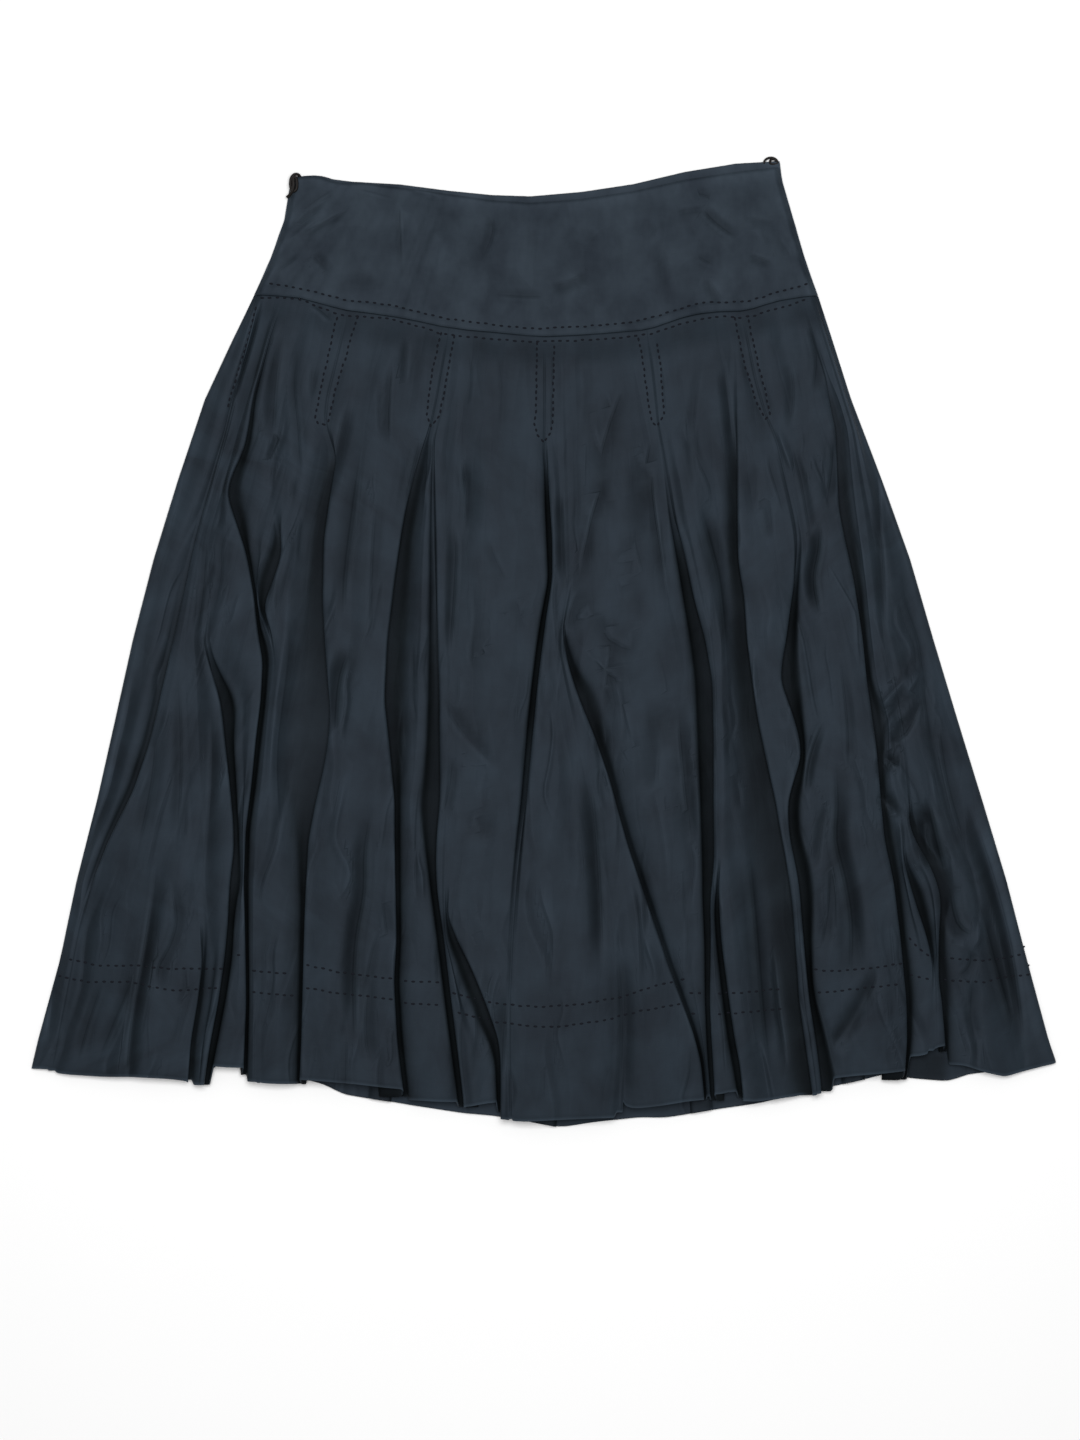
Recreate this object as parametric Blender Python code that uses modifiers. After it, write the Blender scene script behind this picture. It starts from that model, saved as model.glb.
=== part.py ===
"""A pleated midi skirt lying flat on its back: two hip yokes, two pleated panels and two hanger loops.

X runs across the skirt, +Y towards the waist, +Z up from the surface it lies on.
Lengths in the tables are millimetres. Every panel is a wall of cloth round a middle surface.
"""
import bpy
import bmesh
import numpy as np

MM = 0.001

# cloth and seams
WALL = 1.0  # cloth with its turned-in edges
SEAM_GAP = 0.3  # clear distance between two pieces that are sewn together
LAYER = 2.6  # middle of one cloth layer to the middle of the next, in the front's pleats
BACK_LAYER = 1.6  # the same in the back's pleats, which are pressed flat

# heights of the middle surfaces above the table
BACK_REST = WALL / 2
SIDE_HEIGHT = BACK_REST + WALL + SEAM_GAP
YOKE_CROWN = 2.5  # how far the front yoke stands above its own side seams
YOKE_ROUNDING = 7.0  # width of the slope between the side seam and the crown
CENTRE_RISE = 0.4  # the last part of that height, which it gains slowly
CENTRE_REACH = 150.0  # over this distance from the side seam
PANEL_LIFT = 1.8  # and how far the front panel stands above the yoke's crown, clear of the back's pleats
LIFT_PART = 0.12  # the part of the panel's length over which it rises to that
LIFT_REACH = 60.0  # and the distance from its side seam

# lines across the skirt: (x, y)
YOKE_TOP_FRONT = ((-191, 361), (-150, 357), (-112, 354), (-75, 349), (-40, 344), (-10, 342),
                  (30, 345), (70, 351), (110, 360), (150, 366), (184, 370))
YOKE_TOP_BACK = ((-191, 361), (-150, 359), (-112, 357.5), (-75, 352), (-40, 348.5), (-10, 347.5),
                 (30, 351), (70, 357), (110, 366.5), (150, 373), (184, 375))
YOKE_SEAM = ((-226, 270.5), (-190, 267.5), (-150, 260), (-112, 252.5), (-75, 245.5), (-37, 240.3),
             (1, 238), (40, 239.5), (80, 245), (118, 252.5), (155, 259.5), (190, 267), (214, 270.5))
FRONT_HEM = ((-399, -332), (-315, -339), (-225, -341), (-115, -348), (-50, -361), (-10, -372),
             (40, -370), (110, -356), (180, -356), (235, -342), (315, -332), (356, -337), (399, -327))
BACK_HEM = ((-396, -331), (-345, -337), (-270, -343), (-171, -349), (-110, -359), (-60, -367),
            (-20, -374), (15, -379.3), (90, -372), (170, -360), (235, -347), (320, -342), (396, -327))

# the two side seams: (y, left x, right x)
SIDES = ((375, -192, 184), (360, -197, 186), (329, -202, 195), (298, -213, 204), (267, -227, 215),
         (236, -242, 225), (189, -264, 240), (126, -285, 264), (64, -304, 286), (2, -320, 304),
         (-61, -334, 323), (-123, -348, 342), (-186, -364, 361), (-248, -377, 377), (-310, -394, 393.8),
         (-340, -401, 404))

# where the columns of a fold's "across" and "gap" are taken
FOLD_HEIGHTS = (260, 165, 80, 2, -76, -154, -232, -310, -357)

# Each row is one pleat opening of the front, left to right.
# across: its middle at each of FOLD_HEIGHTS; gap: clear width between its two lips there;
# laps: how far the cloth runs back under the left and the right lip; lips: heights of the lips;
# floor: height of its deepest layer; opens: where it starts to open.
FOLD_COLUMNS = ("name", "across", "gap", "laps", "lips", "floor", "opens")
FRONT_FOLDS = (
    ("side_left", (-222, -250, -273, -291, -308, -341, -366, -386, -392),
     (1, 2, 4, 5, 5, 5, 3, 2, 2), (2, 20), (7.8, 10.4), 2.6, 190),
    ("dart_left", (-213, -240, -258, -262, -246, -240, -245, -255, -260),
     (1, 1, 1, 2, 8, 4, 3, 3, 3), (12, 8), (12.0, 11.4), 5.2, 70),
    ("pocket_left", (-203, -228, -234, -218, -222, -227, -230, -230, -230),
     (1, 3, 6, 5, 4, 3, 3, 3, 3), (14, 12), (11.4, 11.6), 5.2, 190),
    ("box_one", (-155, -157, -175, -178, -180, -186, -188, -190, -191),
     (1, 4, 10, 14, 18, 8, 4, 3, 3), (8, 22), (10.6, 13.2), 5.2, 165),
    ("box_two_left", (-80, -93, -106, -113, -115, -113, -112, -110, -104),
     (1, 2, 8, 12, 10, 5, 4, 4, 4), (20, 6), (14.0, 10.6), 5.2, 150),
    ("box_two_right", (-70, -82, -84, -84, -84, -85, -81, -71, -64),
     (1, 2, 4, 6, 8, 6, 5, 5, 4), (6, 20), (10.8, 13.4), 5.2, 150),
    ("box_three_left", (-3, -2, 3, -5, -11, -19, -22, -30, -34),
     (1, 1, 4, 5, 5, 4, 3, 3, 3), (18, 8), (13.2, 11.8), 5.2, 140),
    ("box_three_right", (6, 8, 13, 20, 44, 74, 99, 116, 123),
     (1, 1, 1, 2, 5, 4, 3, 3, 3), (10, 18), (12.8, 11.2), 5.2, 37),
    ("box_four", (82, 91, 106, 122, 125, 128, 129, 130, 136),
     (1, 2, 6, 12, 12, 11, 7, 5, 5), (20, 20), (12.2, 12.4), 5.2, 150),
    ("box_five_left", (135, 146, 148, 152, 164, 175, 192, 201, 207),
     (1, 5, 8, 9, 9, 11, 4, 4, 4), (12, 18), (11.4, 13.0), 5.2, 190),
    ("box_five_right", (158, 177, 198, 194, 202, 196, 207, 214, 219),
     (1, 1, 3, 8, 4, 7, 6, 4, 4), (14, 8), (12.6, 11.4), 5.2, 90),
    ("pocket_right", (197, 229, 239, 249, 260, 269, 280, 283, 283),
     (1, 4, 5, 4, 5, 6, 4, 3, 3), (18, 12), (13.0, 10.6), 5.2, 190),
    ("side_right", (207, 241, 254, 266, 276, 294, 311, 316, 320),
     (1, 1, 1, 1, 3, 11, 6, 5, 4), (16, 8), (11.6, 8.2), 2.6, 0),
)
BACK_FOLDS = (
    ("back_one", (-150, -160, -176, -190, -203, -216, -228, -240, -246),
     (0.7,) * 9, (16, 16), None, None, 215),
    ("back_two", (-78, -84, -92, -100, -108, -116, -124, -131, -135),
     (0.7,) * 9, (18, 16), None, None, 200),
    ("back_three", (0, 2, 3, 5, 4, 2, -2, -5, -8),
     (0.7,) * 9, (18, 18), None, None, 190),
    ("back_four", (76, 82, 90, 98, 106, 112, 119, 126, 130),
     (0.7,) * 9, (16, 18), None, None, 200),
    ("back_five", (148, 160, 174, 188, 200, 212, 222, 231, 236),
     (0.7,) * 9, (16, 14), None, None, 215),
)

PRESSED_LENGTH = 60.0  # a pleat deepens over this length before its cloth spreads sideways
SPREAD_LENGTH = 110.0  # and reaches its full laps over this one
LEAST_LAP = 1.0  # how far the cloth runs back under a lip where the pleat starts to open
LAP_SHARE = 0.45  # a lap is never wider than this part of the cloth beside it
LAP_CLEARANCE = 2.5  # less this much, so that two laps never touch
LIP_ROUNDING = 1.8  # width of the rounded edge of a lip
LIP_SHARE = 0.3  # and the greatest part of the cloth beside it that it takes
HALF_SPREAD = 5.0  # half the width that a closed pleat's points take up
CLOSED_SHARE = 0.36  # and the greatest part of the cloth beside it that they take
CREST_BULGE = 0.02  # how high the cloth between two openings stands, as a part of its width
CREST_HEIGHT = 4.0  # its lips have to stand this high before it bulges fully
CROSSING_STEPS = 8  # steps in which a line and a level meet
FRONT_ROWS = (0, .06, .1, .14, .19, .25, .33, .43, .55, .7, .85, 1)  # from yoke seam to hem
BACK_ROWS = (0, .08, .18, .3, .46, .64, .82, 1)
FRONT_CREST = (.5,)  # points between two pleat openings, as parts of the width between them
BACK_CREST = (.15, .5, .85)
YOKE_ROWS = (0, .25, .5, .75, 1)
YOKE_LEAST_STEP = 2.0  # least distance between the yoke's columns, which follow the panel's at the seam

# hanger loops: a cord's route, (x, y, z)
CORD = 1.6
LOOP_LEFT = ((-188.5, 346, 2.1), (-188.5, 357, 2.1), (-189.5, 364, 2.4), (-191.5, 366.2, 4.6),
             (-191.8, 362, 5.9), (-190.8, 354, 5.7), (-193.0, 348.6, 5.6), (-197.0, 348.4, 5.4),
             (-198.6, 353, 5.2), (-197.2, 360, 5.2), (-194.2, 364.6, 5.4))
LOOP_RIGHT = ((173.0, 352, 2.1), (172.4, 366, 2.1), (172.6, 374.5, 2.1), (175.2, 377.6, 2.1),
              (178.6, 378.2, 2.1), (180.8, 376.0, 2.1), (178.6, 372.4, 2.1), (176.6, 364, 2.1),
              (176.2, 352, 2.1))

NAVY = (0.023, 0.030, 0.038)
RIBBON_BROWN = (0.020, 0.013, 0.012)


def along(table, position, column=1):
    """Reads a column of a table at a position between its rows."""
    rows = sorted(table)
    return float(np.interp(position, [row[0] for row in rows], [row[column] for row in rows]))


def step(value):
    """A smooth step from 0 to 1."""
    value = min(max(value, 0.0), 1.0)
    return value * value * (3 - 2 * value)


def at_height(values, height):
    """Reads a fold's column at a height."""
    return along(tuple(zip(FOLD_HEIGHTS, values)), height)


def side_x(height, side):
    """The side seam's x at a height: side 1 is the left, 2 the right."""
    return along(SIDES, height, side)


def crowned(inward):
    """Height of the front's middle surface a distance inward from the nearer side seam."""
    rounded = (YOKE_CROWN - CENTRE_RISE) * step(inward / YOKE_ROUNDING)
    return SIDE_HEIGHT + rounded + CENTRE_RISE * step(inward / CENTRE_REACH)


def level_height(x, part, hem):
    """The y of a point a given part of the way from the yoke seam down to the hem."""
    return along(YOKE_SEAM, x) * (1 - part) + along(hem, x) * part - SEAM_GAP / 2 * (1 - part)


def crossing(line, part, hem):
    """Where a line, given as x at each height, crosses one level: its x and height."""
    x = line(0)
    for _ in range(CROSSING_STEPS):
        height = level_height(x, part, hem)
        x = line(height)
    return x, height


def fold_place(fold, part, hem):
    """Where the middle of a pleat opening crosses one level."""
    return crossing(lambda height: at_height(fold["across"], height), part, hem)


def side_edges(part, hem):
    """The x of the left and the right side seam at one level."""
    return [crossing(lambda height: side_x(height, side), part, hem)[0] for side in (1, 2)]


def half_gap(fold, height):
    """Half the distance between the middle surfaces of a pleat opening's two lips."""
    return (at_height(fold["gap"], height) + WALL) / 2


def fold_points(fold, part, hem, room, rest, face, deep_step):
    """Nine points round one pleat opening: over the left lip, back under it, across, and up the other side.

    room is the cloth's width from each lip to the next opening's; rest is the height of the cloth beside a
    closed pleat; face holds the lips' heights and the deepest layer; deep_step leads to the layer between.
    """
    across, height = fold_place(fold, part, hem)
    lip = half_gap(fold, height)
    depth = step((fold["opens"] - height) / PRESSED_LENGTH)
    spread = step((fold["opens"] - PRESSED_LENGTH - height) / SPREAD_LENGTH)
    back = [LEAST_LAP + spread * max(0, min(lap, LAP_SHARE * width - LAP_CLEARANCE))
            for lap, width in zip(fold["laps"], room)]
    crown = [min(LIP_ROUNDING, LIP_SHARE * width) for width in room]
    left_face, right_face, deep = face
    middle = deep + deep_step
    open_shape = (
        (-lip - crown[0], left_face), (-lip, (left_face + middle) / 2),
        (-lip - back[0], middle), (-lip - back[0], deep), (0, deep),
        (lip + back[1], deep), (lip + back[1], middle),
        (lip, (right_face + middle) / 2), (lip + crown[1], right_face))
    flat = min(HALF_SPREAD, lip + CLOSED_SHARE * min(room))
    points = []
    for index, (aside, z) in enumerate(open_shape):
        flat_x = flat * (index - 4) / 4
        x = across + flat_x * (1 - depth) + aside * depth
        points.append((x, rest(x) * (1 - depth) + z * depth))
    return points


def section(folds, part, hem, edges, rest, faces, deep_step, crest_parts):
    """One level of a pleated panel as (x, z) points from its left to its right side seam."""
    places = [fold_place(fold, part, hem) for fold in folds]
    lips = [half_gap(fold, place[1]) for fold, place in zip(folds, places)]
    starts = [edges[0]] + [place[0] + lip for place, lip in zip(places, lips)]
    ends = [place[0] - lip for place, lip in zip(places, lips)] + [edges[1]]
    rooms = [end - start for start, end in zip(starts, ends)]
    points = [(edges[0], rest(edges[0]))]
    for index, fold in enumerate(folds):
        room = (rooms[index], rooms[index + 1])
        group = fold_points(fold, part, hem, room, rest, faces[index], deep_step)
        points.extend(crest(points[-1], group[0], room[0], rest, crest_parts))
        points.extend(group)
    end = (edges[1], rest(edges[1]))
    points.extend(crest(points[-1], end, rooms[-1], rest, crest_parts))
    points.append(end)
    return points


def crest(before, after, width, rest, parts):
    """Points on the cloth between two pleat openings, at the given parts of its width."""
    points = []
    for part in parts:
        x = before[0] * (1 - part) + after[0] * part
        raised = max(before[1], after[1]) - rest(x)
        points.append((x, max(before[1], after[1]) + CREST_BULGE * width * step(raised / CREST_HEIGHT)))
    return points


def front_section(part):
    """The front panel's section at one level: it rises from the yoke's height to its folds' own."""
    folds = [dict(zip(FOLD_COLUMNS, row)) for row in FRONT_FOLDS]
    edges = side_edges(part, FRONT_HEM)

    def rest(x):
        inward = min(x - edges[0], edges[1] - x)
        return crowned(inward) + PANEL_LIFT * step(part / LIFT_PART) * step(inward / LIFT_REACH)

    faces = [(*fold["lips"], fold["floor"]) for fold in folds]
    return section(folds, part, FRONT_HEM, edges, rest, faces, LAYER, FRONT_CREST)


def back_section(part):
    """The back panel's section: flat on the table, its pleats pressed up inside."""
    folds = [dict(zip(FOLD_COLUMNS, row)) for row in BACK_FOLDS]
    edges = side_edges(part, BACK_HEM)
    inner = BACK_REST + 2 * BACK_LAYER
    faces = [(BACK_REST, BACK_REST, inner)] * len(folds)
    return section(folds, part, BACK_HEM, edges, lambda x: BACK_REST, faces, -BACK_LAYER, BACK_CREST)


def cloth(name, columns, rows, place, material, collection):
    """A wall of cloth on a grid of columns and rows, each point put in its place by a function."""
    mesh = bpy.data.meshes.new(name)
    grid = bmesh.new()
    bmesh.ops.create_grid(grid, x_segments=columns, y_segments=rows, size=1.0)
    for vertex in grid.verts:
        column = round((vertex.co.x + 1) / 2 * columns)
        row = round((1 - vertex.co.y) / 2 * rows)
        vertex.co = [length * MM for length in place(column, row)]
    grid.to_mesh(mesh)
    grid.free()
    sheet = bpy.data.objects.new(name, mesh)
    collection.objects.link(sheet)
    wall = sheet.modifiers.new("wall", "SOLIDIFY")
    wall.thickness = WALL * MM
    wall.offset = 0.0
    sheet.data.materials.append(material)
    return sheet


def pleated_panel(name, section_of, rows, hem, material, collection):
    """A pleated panel from its sections at each level."""
    sections = [section_of(part) for part in rows]

    def place(column, row):
        x, z = sections[row][column]
        return x, level_height(x, rows[row], hem), z

    return cloth(name, len(sections[0]) - 1, len(rows) - 1, place, material, collection)


def yoke(name, top, seam_points, height_at, material, collection):
    """A hip yoke between the yoke seam and its own top edge, its columns set by the panel's at the seam."""
    across = [seam_points[0][0]]
    for x, _ in seam_points[1:-1]:
        if x - across[-1] >= YOKE_LEAST_STEP:
            across.append(x)
    across.append(seam_points[-1][0])
    fractions = [(x - across[0]) / (across[-1] - across[0]) for x in across]

    def place(column, row):
        part = YOKE_ROWS[row]
        fraction = fractions[column]
        high_x = top[0][0] + (top[-1][0] - top[0][0]) * fraction
        low_y = along(YOKE_SEAM, across[column]) + SEAM_GAP / 2
        y = low_y * (1 - part) + along(top, high_x) * part
        left, right = side_x(y, 1), side_x(y, 2)
        x = across[column] if row == 0 else left + (right - left) * fraction
        return x, y, height_at(min(fraction, 1 - fraction) * (right - left))

    return cloth(name, len(fractions) - 1, len(YOKE_ROWS) - 1, place, material, collection)


def cord_loop(name, route, material, collection):
    """A hanger loop of round cord along its route."""
    curve = bpy.data.curves.new(name, "CURVE")
    curve.dimensions = "3D"
    curve.bevel_depth = CORD / 2 * MM
    curve.bevel_resolution = 2
    curve.use_fill_caps = True
    line = curve.splines.new("POLY")
    line.points.add(len(route) - 1)
    for point, place in zip(line.points, route):
        point.co = [length * MM for length in place] + [1.0]
    curve.materials.append(material)
    loop = bpy.data.objects.new(name, curve)
    collection.objects.link(loop)
    return loop


def finish(name, colour, roughness):
    """A Principled material."""
    material = bpy.data.materials.new(name)
    material.use_nodes = True
    shader = material.node_tree.nodes["Principled BSDF"]
    shader.inputs["Base Color"].default_value = (*colour, 1.0)
    shader.inputs["Roughness"].default_value = roughness
    shader.inputs["Metallic"].default_value = 0.0
    return material


def build_skirt():
    """Every piece of the skirt, in one collection."""
    for old in list(bpy.data.objects):
        bpy.data.objects.remove(old)
    skirt = bpy.data.collections.new("pleated_skirt")
    bpy.context.scene.collection.children.link(skirt)
    panel_cloth = finish("slate_navy_cloth", NAVY, 0.7)
    yoke_cloth = finish("slate_navy_yoke_cloth", NAVY, 0.72)
    ribbon = finish("dark_brown_cord", RIBBON_BROWN, 0.6)
    yoke("yoke_front", YOKE_TOP_FRONT, front_section(0), crowned, yoke_cloth, skirt)
    yoke("yoke_back", YOKE_TOP_BACK, back_section(0), lambda inward: BACK_REST, yoke_cloth, skirt)
    pleated_panel("skirt_front", front_section, FRONT_ROWS, FRONT_HEM, panel_cloth, skirt)
    pleated_panel("skirt_back", back_section, BACK_ROWS, BACK_HEM, panel_cloth, skirt)
    cord_loop("loop_left", LOOP_LEFT, ribbon, skirt)
    cord_loop("loop_right", LOOP_RIGHT, ribbon, skirt)


build_skirt()
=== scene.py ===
import math
import bmesh
import bpy
import numpy as np
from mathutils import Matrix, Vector
from mathutils.bvhtree import BVHTree

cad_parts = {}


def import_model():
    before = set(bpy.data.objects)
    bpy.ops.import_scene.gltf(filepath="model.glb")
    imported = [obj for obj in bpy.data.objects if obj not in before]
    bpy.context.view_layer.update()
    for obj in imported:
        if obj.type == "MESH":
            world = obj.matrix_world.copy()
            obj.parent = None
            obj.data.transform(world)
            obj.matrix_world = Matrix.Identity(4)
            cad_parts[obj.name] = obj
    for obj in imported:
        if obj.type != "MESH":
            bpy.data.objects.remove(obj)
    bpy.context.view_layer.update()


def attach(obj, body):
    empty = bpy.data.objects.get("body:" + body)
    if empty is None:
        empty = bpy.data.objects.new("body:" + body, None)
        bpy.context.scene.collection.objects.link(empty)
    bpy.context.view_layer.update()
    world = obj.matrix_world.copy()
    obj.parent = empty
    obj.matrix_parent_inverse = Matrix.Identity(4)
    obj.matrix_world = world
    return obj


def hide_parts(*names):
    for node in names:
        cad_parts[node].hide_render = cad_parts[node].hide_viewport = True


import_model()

# A pleated midi skirt lying on its back: tables are in millimetres, x across, y towards the waist.

mm = 0.001

# lines that the panels and the yokes share
yokeSeam = (
    (-227, 270.8), (-206, 269.6), (-190, 268), (-180, 265.4), (-166, 261.6), (-154, 258.6),
    (-135, 256.2), (-112, 252.7), (-96, 249.6), (-80, 246), (-60, 243.2), (-34, 240.8), (-14, 238.8),
    (2, 238), (22, 238.8), (44, 240.2), (75, 242.7), (86, 245), (99, 249.6), (110, 253.2), (122, 255.8),
    (137, 257.4), (153, 257.8), (162, 259.4), (173, 262.9), (184, 266), (200, 268.6), (214, 270.3))
yokeTopFront = (
    (-191, 362.2), (-180, 362.9), (-173, 361.9), (-166, 359.2), (-158, 357.6), (-143, 357.6),
    (-112, 354), (-75, 349), (-40, 344), (-10, 342), (30, 345), (70, 351), (110, 360), (150, 366),
    (184, 370))
yokeTopBack = (
    (-191, 363.0), (-180, 363.9), (-172, 363.3), (-164, 360.8), (-150, 359), (-112, 356.8), (-75, 352),
    (-40, 348.5), (-10, 347.5), (30, 351), (70, 357), (110, 366.5), (150, 373), (184, 375))
sideSeams = (
    (375, -192, 184), (360, -197, 186), (329, -202, 195), (298, -213, 204), (267, -227, 215),
    (236, -242, 225), (189, -264, 240), (126, -285, 264), (64, -304, 286), (2, -320, 304),
    (-61, -334, 323), (-123, -348, 342), (-186, -364, 361), (-248, -377, 377), (-310, -394, 393.8),
    (-340, -401, 404))

cloth = {
    "thickness": 0.55,
    "creaseShade": 0.085,
    "foldSpread": 1.35,
    "shadeSpread": 1.9,
    "hemPaintedHighlight": 1.3,
    "sidePaintedLight": 0.5,
    "sideWidth": 18.0,
    "troughShade": 0.85,
    "troughWidth": 34.0,
    "hemThickness": 1.1,
    "hemTurned": 88.0,  # the cloth is double this far up from the edge
    "hemStep": 3.0,
    "hemRound": (0.5, 2.0),
    "rimWidth": 2.6,
    "sideHeight": 1.8,
    "yokeRise": 2.5,
    "riseWidth": 7.0,
    "panelRise": 1.8,
    "panelRiseWidth": 60.0,
    "panelRiseShare": 0.1,
    "seamBlend": 25.0,
    "seamWidth": 1.6,
    "seamGap": 0.15,
    "mostCreaseShade": 0.6,
    "shadowEdges": (8.0, 16.0),
    "lowest": 0.05,
    "backHeight": 3.9,
    "flarePoint": 1058.0,
    "flareLevel": 340.0,
}
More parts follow.
